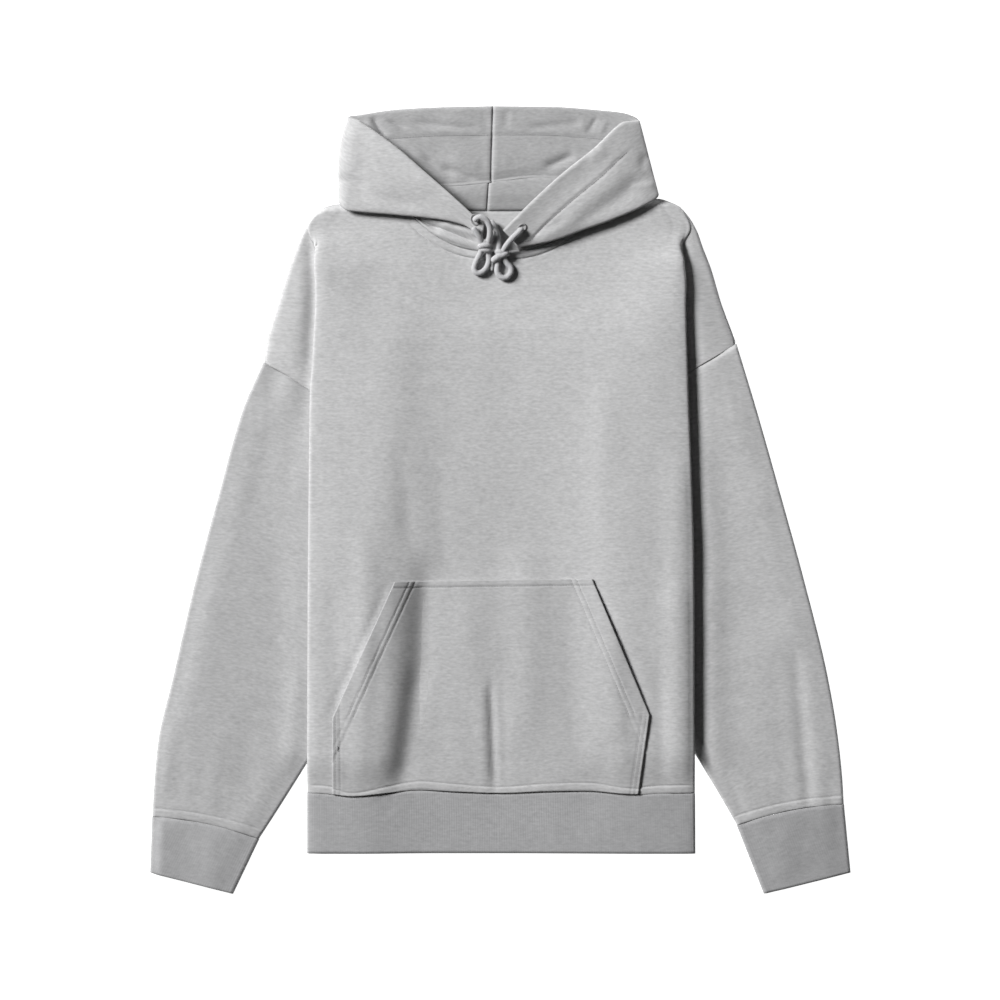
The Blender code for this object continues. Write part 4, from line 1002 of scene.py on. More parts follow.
def tube_grid(side, plans, levels):
    """A flattened tube through ring plans: over the top from the outer fold, and back underneath."""
    plans = np.array(plans)
    spacing = np.linalg.norm(np.diff(plans[:, len(plans[0]) // 3], axis=0), axis=1)
    run = np.concatenate([[0.0], np.cumsum(spacing)])
    at = levels * run[-1]
    flat = np.stack([
        np.stack([curve(run, plans[:, k, axis], at) for k in range(plans.shape[1])], axis=1)
        for axis in (0, 1)
    ], axis=2)
    length = np.cumsum(np.linalg.norm(np.diff(flat, axis=1), axis=2), axis=1)
    length = np.concatenate([np.zeros((len(flat), 1)), length], axis=1)
    inset = np.minimum(length, length[:, -1:] - length)
    high, low = lying_heights(side, flat[:, :, 0], flat[:, :, 1], inset)
    over = np.stack([SIGN[side] * flat[:, :, 0], flat[:, :, 1], high], axis=2)
    under = np.stack([SIGN[side] * flat[:, :, 0], flat[:, :, 1], low], axis=2)
    return np.concatenate([over, under[:, -2:0:-1]], axis=1), inset, at


def sleeve_plans(side):
    """Plans of a sleeve's rings: one just outside the armhole seam, then those down to the cuff."""
    corners = np.array([(a.x, a.y) for a in ARMHOLE[side]], dtype=float)
    run = np.gradient(corners, axis=0)
    corners -= np.stack([-run[:, 1], run[:, 0]], axis=1) * (0.5 / np.linalg.norm(run, axis=1))[:, None]
    corners[-1] += (1.5, -0.6)
    plans = [even_line(corners, SLEEVE_STEPS)]
    for ring in SLEEVES[side]:
        outer, inner = (ring.outer_x, ring.outer_y), (ring.inner_x, ring.inner_y)
        plans.append(bowed_line(outer, inner, ring.bow, SLEEVE_STEPS))
    return plans


# The wearer's right sleeve is the same fleece painted darker: painted shade over that whole sleeve.
sleeve_greys = {
    "right": heather("Right sleeve fleece with painted shade", (0.39, 0.39, 0.393)),
    "left": heather("Left sleeve fleece", (0.455, 0.455, 0.458)),
}
sleeve_tops = {}
for side in BOTH_SIDES:
    name = "sleeve_" + side
    grid, inset, along = tube_grid(side, sleeve_plans(side), SLEEVE_LEVELS)
    top = slice(0, inset.shape[1])
    x, y = grid[:, top, 0], grid[:, top, 1]
    from_end = (along[-1] - along)[:, None]
    seam_band = SEAM_RAISE * smooth(from_end, 10.5, 7.0) + STITCH_DIP * groove(from_end - SLEEVE_STITCH)
    seam_band -= SEAM_DIP * smooth(from_end, 1.6, -0.2)
    from_armhole = along[:, None]
    armhole_dip = STITCH_DIP * groove(from_armhole, 1.8)
    relief = creased(SLEEVE_CREASES[side], x, y) + 0.4 * wander(x, y, 70.0, SLEEVE_SEED[side])
    relief = relief * smooth(inset, 1.0, 16.0) + (seam_band + armhole_dip) * smooth(inset, 0.0, 4.0)
    lower_wall = np.concatenate([grid[:, :1, 2], grid[:, :top.stop - 1:-1, 2], grid[:, :1, 2]], axis=1)
    least = FLEECE + WALL_GAP + lower_wall
    grid[:, top, 2] = sunk(grid[:, top, 2] + relief, beside_body(side, np.abs(x), y, inset), least)
    sleeve_tops[side] = (grid[:, top], along)
    piece = cloth_piece(name + "_tube", name, grid, sleeve_greys[side], FLEECE, True, "along")

# ---- Cuffs
# A band of close ribbed knit on each sleeve, a little narrower than the sleeve's end, doubled with a soft
# folded edge at the wrist.
Cuff = namedtuple("Cuff", "outer_x outer_y inner_x inner_y")
CUFF_END = {"right": Cuff(368.2, -394.6, 282.4, -416.8), "left": Cuff(372.3, -394.6, 282.6, -416.8)}
CUFF_LEVELS = np.concatenate([np.linspace(0.0, 0.1, 8), np.linspace(0.14, 1.0, 24)])
RIB = 2.6  # thickness of the doubled rib
rib_grey = heather("Ribbed knit", (0.335, 0.335, 0.34), fleck=0.8, rib=0.5)
CUFF_CREASES = {
    "right": [Crease(-362, -336, -368, -400, 17, 3.4), Crease(-300, -345, -306, -400, 12, 0.9)],
    "left": [Crease(346, -345, 352, -400, 12, -0.6), Crease(300, -350, 306, -400, 12, 0.8)],
}

for side in BOTH_SIDES:
    name = "cuff_" + side
    seam, end = SLEEVES[side][-1], CUFF_END[side]
    plans = []
    for t in (0.0, 0.5, 1.0):
        outer = (mix(seam.outer_x, end.outer_x, t), mix(seam.outer_y - 0.5, end.outer_y, t))
        inner = (mix(seam.inner_x, end.inner_x, t), mix(seam.inner_y - 0.5, end.inner_y, t))
        plans.append(bowed_line(outer, inner, seam.bow * (1.0 - t), SLEEVE_STEPS))
    grid, inset, along = tube_grid(side, plans, CUFF_LEVELS)
    top = slice(0, inset.shape[1])
    x, y = grid[:, top, 0], grid[:, top, 1]
    from_seam = along[:, None]
    relief = (0.25 * wander(x, y, 40.0, 21) + creased(CUFF_CREASES[side], x, y)) * smooth(inset, 1.0, 12.0)
    relief -= SEAM_DIP * smooth(from_seam, 3.0, 0.0) * smooth(inset, 0.0, 5.0)
    grid[:, top, 2] += relief
    piece = cloth_piece(name + "_band", name, grid, rib_grey, RIB, True, "along")

# ---- Hem rib
# One ring of the same ribbed knit, doubled over at its lower edge, sewn round the front and the back below a
# raised seam band. It follows the folds of both panels at the sides.
HEM_LIFT = 0.2  # the rib is thicker than the fleece, so it lies this much higher
HEM_CREASES = [Crease(-128, -312, -112, -330, 10, -0.8), Crease(-40, -312, -30, -345, 16, -0.3)]


def hem_ring(y):
    """One ring of points of the hem rib, over the front from the middle and back round both tucks."""
    ring = []
    end = ACROSS + TURN + UNDER + 1
    for side in ("left", "right"):
        over = section_row(side, max(y, HEM_Y), True, False)[:end]
        under = section_row(side, max(y, HEM_Y), False, False)[:end]
        seam = SIGN[side] * (through(SIDES[side], "y", "seam", y) - 2.0)
        half = [(SIGN[side] * x, y, z + HEM_LIFT) for x, z in over]
        half += [(seam, y, (over[-1][1] + under[-1][1]) / 2.0 + HEM_LIFT)]
        half += [(SIGN[side] * x, y, z + HEM_LIFT) for x, z in under[::-1]]
        ring += half[:-1] if side == "left" else half[::-1][:-1]
    return ring


hem_levels = np.concatenate([
    np.linspace(HEM_SEAM_Y - 0.2, HEM_SEAM_Y - 6.0, 8),
    np.linspace(-318.0, HEM_Y, 18),
])
hem_grid = np.array([hem_ring(y) for y in hem_levels])
hem_width = hem_grid.shape[1]
down_from_seam = HEM_SEAM_Y - hem_grid[:, :, 1]
is_top = np.zeros(hem_width)
is_top[:ACROSS + 5] = 1.0
is_top[-(ACROSS + 5):] = 1.0
hem_x = hem_grid[:, :, 0]
hem_grid[:, :, 1] += seam_wave(hem_x) * smooth(down_from_seam, 34.0, 0.0) * is_top
hem_relief = 0.3 * wander(hem_x, hem_grid[:, :, 1], 60.0, 31)
hem_relief += creased(HEM_CREASES, hem_x, hem_grid[:, :, 1])
hem_grid[:, :, 2] += is_top * (hem_relief - 0.8 * smooth(down_from_seam, 2.4, 0.0))
hem = cloth_piece("hem_rib_band", "hem_rib", hem_grid, rib_grey, RIB, True)

# ---- Pouch pocket
# One piece of the same fleece sewn on the front: hemmed and topstitched along the top, open along both
# slanted sides, and caught in the hem seam.
PocketCorner = namedtuple("PocketCorner", "x y")
POCKET = [PocketCorner(-110.2, -86.0), PocketCorner(98.2, -83.0), PocketCorner(159.5, -227.0),
          PocketCorner(148.0, -308.6), PocketCorner(-175.3, -308.6), PocketCorner(-175.3, -229.2)]
RIGHT_EDGE, LEFT_EDGE = [POCKET[0], POCKET[5], POCKET[4]], POCKET[1:4]
POCKET_TOP = -84.5
POCKET_CLOTH = 1.8


def front_top(x, y):
    """Middle of the front panel's top layer, creases and all."""
    right = front_height("right", np.abs(x), y)
    left = front_height("left", np.abs(x), y)
    return np.where(x < 0, right, left) + front_relief(x, y)


def outline_distance(x, y, first, second):
    """How far a point is inside the straight side of the pocket between two of its corners."""
    run = math.hypot(second.x - first.x, second.y - first.y)
    return ((y - first.y) * (second.x - first.x) - (x - first.x) * (second.y - first.y)) / run


def edge_x(edge, y):
    """Where a side edge of the pocket lies at a level."""
    return np.interp(-y, [-corner.y for corner in edge], [corner.x for corner in edge])


pocket_rows = np.concatenate([
    np.linspace(0.0, 0.05, 12)[:-1], np.linspace(0.05, 0.94, 74)[:-1], np.linspace(0.94, 1.0, 15),
])
pocket_columns = np.concatenate([
    np.linspace(0.0, 0.11, 26)[:-1], np.linspace(0.11, 0.89, 74)[:-1], np.linspace(0.89, 1.0, 26),
])
pocket_grid = np.zeros((len(pocket_rows), len(pocket_columns), 3))
for j, t in enumerate(pocket_rows):
    y = mix(POCKET_TOP, POCKET[3].y, t)
    x = mix(edge_x(RIGHT_EDGE, y), edge_x(LEFT_EDGE, y), pocket_columns)
    tilt = mix(-1.5, 1.5, pocket_columns) * (1.0 - t)
    pocket_grid[j] = np.stack([x, y + tilt, np.zeros_like(x)], axis=1)
TOP_STITCH, SLANT_STITCHES, SIDE_STITCHES = 6.6, (14.6, 20.0), (3.6, 8.0)


def pocket_height(x, y):
    """Middle of the pocket's cloth: laid on the front, with the dips of its stitch lines."""
    side_in = [outline_distance(x, y, POCKET[(k + 1) % 6], POCKET[k]) for k in range(6)]
    top_in, left_slant_in, left_side_in, _, right_side_in, right_slant_in = side_in
    z = front_top(x, y) + FLEECE / 2 + POCKET_CLOTH / 2 + WALL_GAP
    z += SEAM_RAISE * smooth(top_in, 9.0, 5.6) + STITCH_DIP * groove(top_in - TOP_STITCH)
    for slant_in in (left_slant_in, right_slant_in):
        z += 0.6 * smooth(slant_in, 23.0, 14.0)
        for line in SLANT_STITCHES:
            z += 0.6 * groove(slant_in - line, 0.9)
    for edge_in in (left_side_in, right_side_in):
        for line in SIDE_STITCHES:
            z += 0.55 * groove(edge_in - line, 0.9)
    return z


px, py = pocket_grid[:, :, 0], pocket_grid[:, :, 1]
pocket_grid[:, :, 2] = pocket_height(px, py)
pocket_grid[:, :, 1] = waved(px, py)
# The pocket is the same fleece painted darker: painted shade over the whole pocket.
pocket_painted_shade_grey = heather("Pocket fleece with painted shade", (0.415, 0.415, 0.418))
pocket = cloth_piece("pouch_pocket", "pocket", pocket_grid, pocket_painted_shade_grey, POCKET_CLOTH)

# ---- Hood
# Two halves of fleece joined by a seam over the crown, with the edge of the face opening turned in and
# stitched as a channel for the cords. It lies flat: the back half folds once over itself above the neck, the
# front half comes down over the neckline and folds back up.
Hood = namedtuple("Hood", "neck_x neck_z front fold_x fold_y rim_x rim_y bulge reach base middle top rim_z")
HOOD = {
    "right": [
        Hood(12.0, 1.1, 0.0, 7.3, 338.5, 5.7, 416.8, 0.0, 56.0, 1.1, 4.7, 8.3, 9.0),
        Hood(50.0, 1.1, 0.0, 60.0, 334.5, 51.3, 416.0, 0.0, 52.0, 1.1, 4.7, 8.3, 9.0),
        Hood(84.0, 1.1, 0.0, 108.0, 340.0, 104.3, 413.5, 0.0, 40.0, 1.1, 4.7, 8.3, 9.0),
        Hood(97.0, 1.3, 0.0, 150.0, 333.0, 146.0, 407.5, 2.0, 14.0, 1.6, 5.2, 8.8, 10.0),
        Hood(101.5, 8.0, 0.5, 168.0, 320.0, 158.0, 405.5, 5.0, 0.0, 10.6, 11.2, 12.8, 13.5),
        Hood(99.0, 11.4, 1.0, 161.0, 309.8, 148.0, 401.0, 3.0, 0.0, 12.2, 14.8, 17.4, 18.5),
        Hood(88.0, 10.6, 1.0, 110.0, 304.3, 110.0, 374.0, 0.0, 16.0, 11.6, 15.2, 18.8, 23.0),
        Hood(62.0, 8.6, 1.0, 66.0, 299.8, 72.0, 341.0, 0.0, 15.0, 11.6, 15.2, 18.8, 25.0),
        Hood(35.0, 8.2, 1.0, 37.0, 293.5, 42.0, 315.0, 0.0, 9.0, 11.5, 15.1, 18.7, 25.0),
        Hood(14.0, 8.2, 1.0, 17.0, 279.5, 14.5, 289.5, 0.0, 2.0, 11.0, 14.6, 18.2, 22.0),
    ],
    "left": [
        Hood(-12.0, 1.1, 0.0, -7.3, 338.5, -5.7, 416.8, 0.0, 56.0, 1.1, 4.7, 8.3, 9.0),
        Hood(40.0, 1.1, 0.0, 40.0, 343.5, 54.7, 416.2, 0.0, 52.0, 1.1, 4.7, 8.3, 9.0),
        Hood(82.0, 1.1, 0.0, 98.0, 341.0, 102.0, 413.0, 0.0, 40.0, 1.1, 4.7, 8.3, 9.0),
        Hood(97.0, 1.3, 0.0, 138.0, 336.0, 134.0, 409.0, 2.0, 14.0, 1.6, 5.2, 8.8, 10.0),
        Hood(101.5, 8.0, 0.5, 168.0, 325.0, 148.0, 402.0, 0.0, 0.0, 10.6, 11.2, 12.8, 13.5),
        Hood(99.0, 11.4, 1.0, 152.0, 313.4, 132.0, 399.0, 3.0, 0.0, 12.2, 14.8, 17.4, 18.5),
        Hood(90.0, 10.6, 1.0, 121.0, 299.5, 100.0, 370.0, 0.0, 14.0, 11.6, 15.2, 18.8, 24.0),
        Hood(77.0, 10.2, 1.0, 90.0, 288.5, 68.0, 344.5, 0.0, 14.0, 11.6, 15.2, 18.8, 26.0),
        Hood(52.0, 8.6, 1.0, 52.0, 275.5, 36.0, 315.5, 0.0, 12.0, 11.6, 15.2, 18.8, 26.0),
        Hood(22.0, 8.2, 1.0, 20.0, 269.5, 4.5, 284.5, 0.0, 6.0, 11.2, 14.8, 18.4, 24.0),
    ],
}
NECK_GAP = 0.2
CENTRE_GAP = 0.12
HOOD_ROWS = 150
HOOD_SEED = {"right": 43, "left": 41}
CASING = 30.0  # from the edge of the opening to the stitches of the cord's channel
BACK_END, FRONT_START = 3.9, 5.2  # sections where the hood's back half ends and its front half starts
# Stops along a section: the end of the first layer, the lower fold, and the start of the clear upper layer
FIRST_STOP, FOLD_STOP, UPPER_STOP = 2.6, 8.0, 8.6
HOOD_STOPS = np.concatenate([
    np.linspace(0.0, 2.0, 22)[:-1], np.linspace(2.0, 5.0, 16)[:-1], np.linspace(5.0, 6.0, 4)[:-1],
    np.linspace(6.0, 9.0, 13)[:-1], np.linspace(9.0, 12.0, 40),
])
HOOD_CREASES = {
    "right": [
        Crease(-140, 402, -126, 380, 2.6, 1.4), Crease(-133, 405, -120, 384, 2.2, -3.2),
        Crease(-124, 404, -106, 391, 2.2, 1.2), Crease(-116, 402, -98, 394, 2.0, -1.4),
        Crease(-88, 400, -24, 393, 4, -1.6), Crease(-70, 392, -30, 388, 3.4, 0.8),
        Crease(-172, 338, -140, 330, 5, -1.8, 3.0), Crease(-160, 388, -150, 350, 9, 0.8),
        Crease(-152, 326, -80, 311, 6, -1.0), Crease(-140, 350, -70, 322, 14, 0.8),
        Crease(-58, 354, -24, 338, 4.6, -3.0), Crease(-80, 364, -46, 340, 5, -2.6),
        Crease(-14, 410, -12, 386, 4, -0.7), Crease(-52, 362, -22, 348, 9, 0.7),
    ],
    "left": [
        Crease(104, 405, 95, 389, 2.0, -1.6), Crease(88, 404, 90, 392, 2.4, 0.9),
        Crease(114, 402, 108, 388, 2.4, 1.0), Crease(9, 413, 9, 394, 1.8, -1.4),
        Crease(30, 394, 88, 400, 4, -1.3), Crease(50, 352, 80, 366, 4.6, -2.4),
        Crease(30, 374, 84, 352, 9, 0.8), Crease(40, 348, 80, 366, 5, -0.8),
        Crease(142, 352, 44, 272, 15, 2.4), Crease(158, 342, 84, 292, 9, -1.6),
        Crease(156, 366, 150, 350, 5, -1.2), Crease(166, 334, 140, 330, 4, 1.0),
        Crease(70, 296, 36, 279, 5, -0.8), Crease(112, 372, 96, 356, 6, 0.8),
    ],
}
hood_neck = {}
middle = COLUMNS - 1
for key, grid in (("back", back_grid), ("front", front_grid)):
    edge_row = grid[0, middle - ACROSS:middle + ACROSS + 1]
    hood_neck[key] = (edge_row[:, 0], edge_row[:, 1])


def hood_section(side, u):
    """One section of the hood from the neckline, along the hidden layers and over the fold to the rim."""
    rows = HOOD[side]
    at = Hood(*(float(curve(range(len(rows)), [getattr(r, f) for r in rows], u)) for f in Hood._fields))
    edge_y = [np.interp(SIGN[side] * at.neck_x, *hood_neck[key]) for key in ("back", "front")]
    gap = NECK_GAP * (1.0 + 8.0 * at.front * (1.0 - at.front))
    neck = np.array((at.neck_x, mix(edge_y[0], edge_y[1], at.front) + gap))
    fold, rim = np.array((at.fold_x, at.fold_y)), np.array((at.rim_x, at.rim_y))
    up = (rim - fold) / np.linalg.norm(rim - fold)
    out = np.array((up[1], -up[0]))
    under = fold + at.reach * up
    ease = min(at.reach / 4.0, 3.0)
    points = [
        (*neck, at.neck_z),
        (*mix(neck, under, 0.45), at.base),
        (*(under - ease * up), at.base),
        (*(under + 0.5 * ease * up), mix(at.base, at.middle, 0.15)),
        (*(under + 0.5 * ease * up), mix(at.base, at.middle, 0.85)),
        (*(under - ease * up), at.middle),
        (*(fold + ease * up), at.middle),
        (*(fold - 2.0 * up), mix(at.middle, at.top, 0.15)),
        (*(fold - 2.0 * up), mix(at.middle, at.top, 0.85)),
        (*(fold + 4.0 * up), at.top),
        (*(mix(fold, rim, 0.35) + at.bulge * out), mix(at.top, at.rim_z, 0.15)),
        (*(mix(fold, rim, 0.7) + at.bulge * out), mix(at.top, at.rim_z, 0.6)),
        (*rim, at.rim_z),
    ]
    path, spans = spline(points, 10)
    row = np.stack([np.interp(HOOD_STOPS, spans, path[:, k]) for k in range(3)], axis=1)
    row[:, 0] = SIGN[side] * (row[:, 0] + CENTRE_GAP)
    return row


NAPE_LIFT = 6.2  # the nape swells up against the fold of the hood's back
BASE_CREASES = [
    Crease(-98, 305, -62, 285, 3.6, -3.4), Crease(-84, 290, -28, 268, 2.2, 2.6),
    Crease(-74, 293, -26, 274, 1.7, -3.0), Crease(-60, 293, -20, 280, 2.4, 2.4),
    Crease(-70, 281, -24, 263, 1.6, -2.6), Crease(-52, 293, -14, 286, 1.8, -2.6),
    Crease(86, 300, 60, 284, 4, -1.4), Crease(24, 268, 66, 280, 1.8, -2.6),
    Crease(26, 262, 60, 272, 2.0, 2.0),
]
# The inside of the hood is darker: partly the fleece's reverse side, partly painted shade inside the hood.
hood_inside_reverse_and_shade_grey = heather("Hood inside, reverse side and painted shade", (0.35, 0.35, 0.353))
hood_grids = {}
for side in BOTH_SIDES:
    last = len(HOOD[side]) - 1
    places = np.linspace(0.0, last, HOOD_ROWS)
    grid = np.array([hood_section(side, u) for u in places])
    x, y = grid[:, :, 0], grid[:, :, 1]
    top = smooth(HOOD_STOPS, FOLD_STOP, 9.5)[None, :]
    back_run = np.cumsum(np.linalg.norm(np.diff(grid[:, ::-1], axis=1), axis=2), axis=1)
    from_rim = np.concatenate([np.zeros((len(grid), 1)), back_run], axis=1)[:, ::-1]
    far = 1.0 - smooth(places, 2.8, 3.8)[:, None]
    near = smooth(places, 4.6, 5.6)[:, None]
    band = far * (0.7 * smooth(from_rim, 34.0, 29.0) + 0.9 * groove(from_rim - CASING, 1.6))
    if side == "left":
        band += near * (0.5 * smooth(from_rim, 33.0, 27.0) + groove(from_rim - CASING, 1.5))
    band -= 1.2 * smooth(from_rim, 2.4, 0.0)
    from_centre = np.abs(x - x[:1])
    in_channel = smooth(from_rim, 34.0, 28.0)
    centre_seam = 0.9 * groove(from_centre, 1.4) * (1.0 - 0.7 * in_channel)
    centre_seam = (centre_seam - 0.3 * groove(from_centre - 4.5, 2.5)) * far
    relief = creased(HOOD_CREASES[side], x, y) + 0.5 * wander(x, y, 55.0, HOOD_SEED[side])
    grid[:, :, 2] += relief * top * smooth(from_rim, 0.0, 6.0) + (band + centre_seam) * top
    from_neck = np.cumsum(np.linalg.norm(np.diff(grid, axis=1), axis=2), axis=1)
    from_neck = np.concatenate([np.zeros((len(grid), 1)), from_neck], axis=1)
    fold_y = grid[:, np.searchsorted(HOOD_STOPS, FOLD_STOP), 1][:, None]
    to_fold = fold_y - y
    first_layer = (HOOD_STOPS < FIRST_STOP)[None, :]
    nape_rise = mix(smooth(from_neck, 0.0, 3.5), smooth(from_neck, 3.0, 20.0), 0.65)
    nape = NAPE_LIFT * nape_rise * smooth(to_fold, -7.0, 2.0) * far * first_layer
    nape += (0.8 * groove(from_centre, 1.4) * far - smooth(from_neck, 1.6, 0.0)) * first_layer
    fold_dip = -2.2 * smooth(to_fold, -12.0, -1.0) * far * (HOOD_STOPS > FOLD_STOP)[None, :]
    grid[:, :, 2] += fold_dip
    base = creased(BASE_CREASES, x, y) * smooth(from_neck, 0.0, 5.0) * near * first_layer
    grid[:, :, 2] = np.maximum(grid[:, :, 2] + nape + base, FLOOR)
    hood_grids[side] = (grid, from_rim, places)
    name = "hood_" + side
    piece = cloth_piece(name + "_half", name, grid, fleece_grey, FLEECE, False, "around")
    # Faces of the hood's back half take the darker inside colour, which is partly painted shade.
    piece.data.materials.append(hood_inside_reverse_and_shade_grey)
    inside_rows = int(np.searchsorted(places, BACK_END))
    for face in piece.data.polygons[:inside_rows * (len(HOOD_STOPS) - 1)]:
        face.material_index = 1

# ---- Stitching
# Grey polyester thread in lockstitch rows: one stitch after another along each topstitched seam, the pocket's
# hems, the hood's casing and its eyelets, and the bartacks.
STITCH_LIFT = 0.1  # how far the middle of a stitch stands off the cloth
thread = bpy.data.materials.new("Grey thread")
thread.use_nodes = True
thread_finish = thread.node_tree.nodes["Principled BSDF"].inputs
thread_finish["Base Color"].default_value = (0.3, 0.3, 0.303, 1.0)
thread_finish["Roughness"].default_value = 0.6


def stitch_tree():
    """Geometry Nodes: even stitches laid end to end along each line of a mesh of edges."""
    tree = bpy.data.node_groups.new("Stitch row", "GeometryNodeTree")
    tree.interface.new_socket("Lines", in_out="INPUT", socket_type="NodeSocketGeometry")
    for name in ("Stitch pitch", "Stitch length", "Thread width"):
        tree.interface.new_socket(name, in_out="INPUT", socket_type="NodeSocketFloat")
    tree.interface.new_socket("Stitches", in_out="OUTPUT", socket_type="NodeSocketGeometry")
    start, end = tree.nodes.new("NodeGroupInput"), tree.nodes.new("NodeGroupOutput")
    to_curve = tree.nodes.new("GeometryNodeMeshToCurve")
    to_points = tree.nodes.new("GeometryNodeCurveToPoints")
    to_points.mode = "LENGTH"
    bead = tree.nodes.new("GeometryNodeMeshUVSphere")
    bead.inputs["Segments"].default_value = 6
    bead.inputs["Rings"].default_value = 4
    bead.inputs["Radius"].default_value = 0.5
    size = tree.nodes.new("ShaderNodeCombineXYZ")
    instances = tree.nodes.new("GeometryNodeInstanceOnPoints")
    realize = tree.nodes.new("GeometryNodeRealizeInstances")
    finish = tree.nodes.new("GeometryNodeSetMaterial")
    finish.inputs["Material"].default_value = thread
    link = tree.links.new
    link(start.outputs["Lines"], to_curve.inputs["Mesh"])
    link(to_curve.outputs["Curve"], to_points.inputs["Curve"])
    link(start.outputs["Stitch pitch"], to_points.inputs["Length"])
    link(start.outputs["Thread width"], size.inputs["X"])
    link(start.outputs["Thread width"], size.inputs["Y"])
    link(start.outputs["Stitch length"], size.inputs["Z"])
    link(to_points.outputs["Points"], instances.inputs["Points"])
    link(to_points.outputs["Rotation"], instances.inputs["Rotation"])
    link(bead.outputs["Mesh"], instances.inputs["Instance"])
    link(size.outputs[0], instances.inputs["Scale"])
    link(instances.outputs["Instances"], realize.inputs["Geometry"])
    link(realize.outputs["Geometry"], finish.inputs["Geometry"])
    link(finish.outputs["Geometry"], end.inputs["Stitches"])
    return tree


stitch_nodes = stitch_tree()


def stitched(name, lines, node, pitch=2.9, length=2.5, width=0.75):
    """Rows of stitches along lines in table millimetres, as one piece."""
    verts, edges = [], []
    for line in lines:
        points = in_frame(line)
        edges += [(len(verts) + k, len(verts) + k + 1) for k in range(len(points) - 1)]
        verts += points.tolist()
    mesh = bpy.data.meshes.new(name)
    mesh.from_pydata(verts, edges, [])
    rows = bpy.data.objects.new(name + "_lines", mesh)
    bpy.context.scene.collection.objects.link(rows)
    modifier = rows.modifiers.new("Stitches", "NODES")
    modifier.node_group = stitch_nodes
    for label, value in (("Stitch pitch", pitch), ("Stitch length", length), ("Thread width", width)):
        modifier[stitch_nodes.interface.items_tree[label].identifier] = value * MM
    ready = rows.evaluated_get(bpy.context.evaluated_depsgraph_get())
    finished = bpy.data.meshes.new_from_object(ready)
    bpy.data.objects.remove(rows)
    finished.name = name
    finished.shade_smooth()
    finished.materials.clear()
    return placed(name, finished, thread, slot=node)


def on_front(points, lift):
    """A line on the front panel's surface, from points in plan."""
    line = through_points(points, 2.0)
    x, y = line[:, 0], line[:, 1]
    return np.column_stack([x, waved(x, y), front_top(x, y) + neck_relief(x, y) + FLEECE / 2 + lift])


def on_pocket(points):
    """A line on the pocket's surface, from points in plan."""
    line = np.concatenate([
        np.linspace(a, b, max(int(math.dist(a, b) / 2.0), 2)) for a, b in zip(points, points[1:])
    ])
    x, y = line[:, 0], line[:, 1]
    return np.column_stack([x, waved(x, y), pocket_height(x, y) + POCKET_CLOTH / 2 + STITCH_LIFT])


def beside_edge(row):
    """Two ends of a row of stitches inside the pocket, parallel to one of its sides."""
    first, second = POCKET[row.side], POCKET[(row.side + 1) % len(POCKET)]
    run = math.dist(first, second)
    nx, ny = (second.y - first.y) / run, -(second.x - first.x) / run
    return [
        (mix(first.x, second.x, t) + nx * row.inset, mix(first.y, second.y, t) + ny * row.inset)
        for t in (row.start, row.stop)
    ]


seam_line = [(x, HEM_SEAM_Y + HEM_STITCH) for x in np.arange(-194.0, 200.0, 4.0)]
stitched("hem_stitching", [on_front(seam_line, -0.5)], "front")
neck_line = []
for x in np.arange(-88.0, 89.0, 3.0):
    slope = neck_slope(abs(x) / NECK_HALF) * math.copysign(1.0, x)
    scale = NECK_STITCH / math.hypot(1.0, slope)
    neck_line.append((x + slope * scale, float(top_line("right", abs(x), True)) - scale))
stitched("neck_stitching", [on_front(neck_line, -0.4)], "front")
# Rows on the pocket: the side they follow, how far inside it, and the shares of it where they start and end
PocketRow = namedtuple("PocketRow", "side inset start stop")
POCKET_STITCHES = [
    PocketRow(0, TOP_STITCH, 0.02, 0.98),
    PocketRow(1, SLANT_STITCHES[0], -0.02, 0.93), PocketRow(1, SLANT_STITCHES[1], -0.04, 0.93),
    PocketRow(5, SLANT_STITCHES[0], 0.07, 1.02), PocketRow(5, SLANT_STITCHES[1], 0.07, 1.04),
    PocketRow(2, SIDE_STITCHES[0], 0.02, 0.92), PocketRow(2, SIDE_STITCHES[1], 0.02, 0.92),
    PocketRow(4, SIDE_STITCHES[0], 0.08, 0.98), PocketRow(4, SIDE_STITCHES[1], 0.08, 0.98),
]
pocket_lines = [on_pocket(beside_edge(row)) for row in POCKET_STITCHES]
stitched("pocket_stitching", pocket_lines, "pocket", width=0.65)
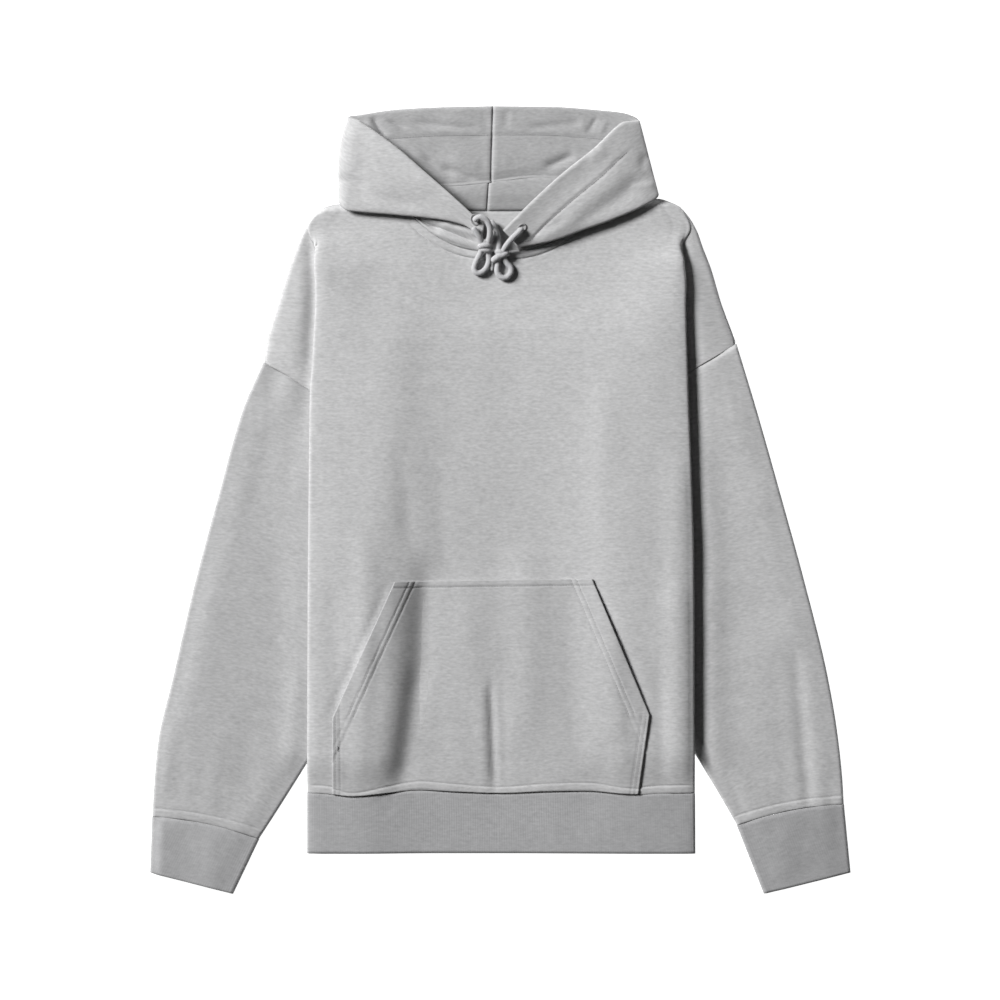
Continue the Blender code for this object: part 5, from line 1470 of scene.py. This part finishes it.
for side in BOTH_SIDES:
    grid, from_rim, places = hood_grids[side]
    line = []
    for j in range(2, len(places) - 2):
        if places[j] < BACK_END or (places[j] > FRONT_START and side == "left"):
            row = slice(int(np.searchsorted(HOOD_STOPS, UPPER_STOP)), None)
            order = from_rim[j, row][::-1]
            line.append([np.interp(CASING, order, grid[j, row, k][::-1]) for k in range(3)])
        else:
            line.append(None)
    runs, run = [], []
    for point in line + [None]:
        if point is None:
            if len(run) > 3:
                runs.append(np.array(run) + (0.0, 0.0, FLEECE / 2 + STITCH_LIFT))
            run = []
        else:
            run.append(point)
    stitched("hood_stitching_" + side, runs, "hood_" + side)
    rings, along = sleeve_tops[side]
    ring = [
        [np.interp(along[-1] - SLEEVE_STITCH, along, rings[:, j, k]) for k in range(3)]
        for j in range(4, rings.shape[1] - 4)
    ]
    stitched(f"sleeve_{side}_stitching", [np.array(ring) + (0.0, 0.0, FLEECE / 2 - 0.4)], "sleeve_" + side)


def hood_top(side, x, y):
    """Surface of the hood's upper layer near a point in plan."""
    layer = hood_grids[side][0][:, HOOD_STOPS > UPPER_STOP]
    return layer[:, :, 2].flat[np.hypot(layer[:, :, 0] - x, layer[:, :, 1] - y).argmin()] + FLEECE / 2


Eyelet = namedtuple("Eyelet", "x y wide high turn")
EYELETS = {"right": Eyelet(-24.4, 295.6, 3.9, 5.4, 30), "left": Eyelet(24.8, 286.4, 3.6, 5.0, -40)}
for side, eyelet in EYELETS.items():
    turn = math.radians(eyelet.turn)
    ring = []
    for angle in np.linspace(0.0, 2 * math.pi, 33):
        across, upward = eyelet.wide * math.cos(angle), eyelet.high * math.sin(angle)
        x = eyelet.x + across * math.cos(turn) - upward * math.sin(turn)
        y = eyelet.y + across * math.sin(turn) + upward * math.cos(turn)
        ring.append((x, y, hood_top(side, x, y) + 0.2))
    stitched(f"eyelet_{side}_stitching", [np.array(ring)], "hood_" + side, pitch=0.8, length=0.9, width=2.2)
BARTACK = [(-168.6 - 1.2 * (k % 2), -264.5 + 0.55 * k) for k in range(10)]
stitched("bartack_stitching", [on_pocket(BARTACK)], "pocket", pitch=1.0, length=1.4, width=0.8)
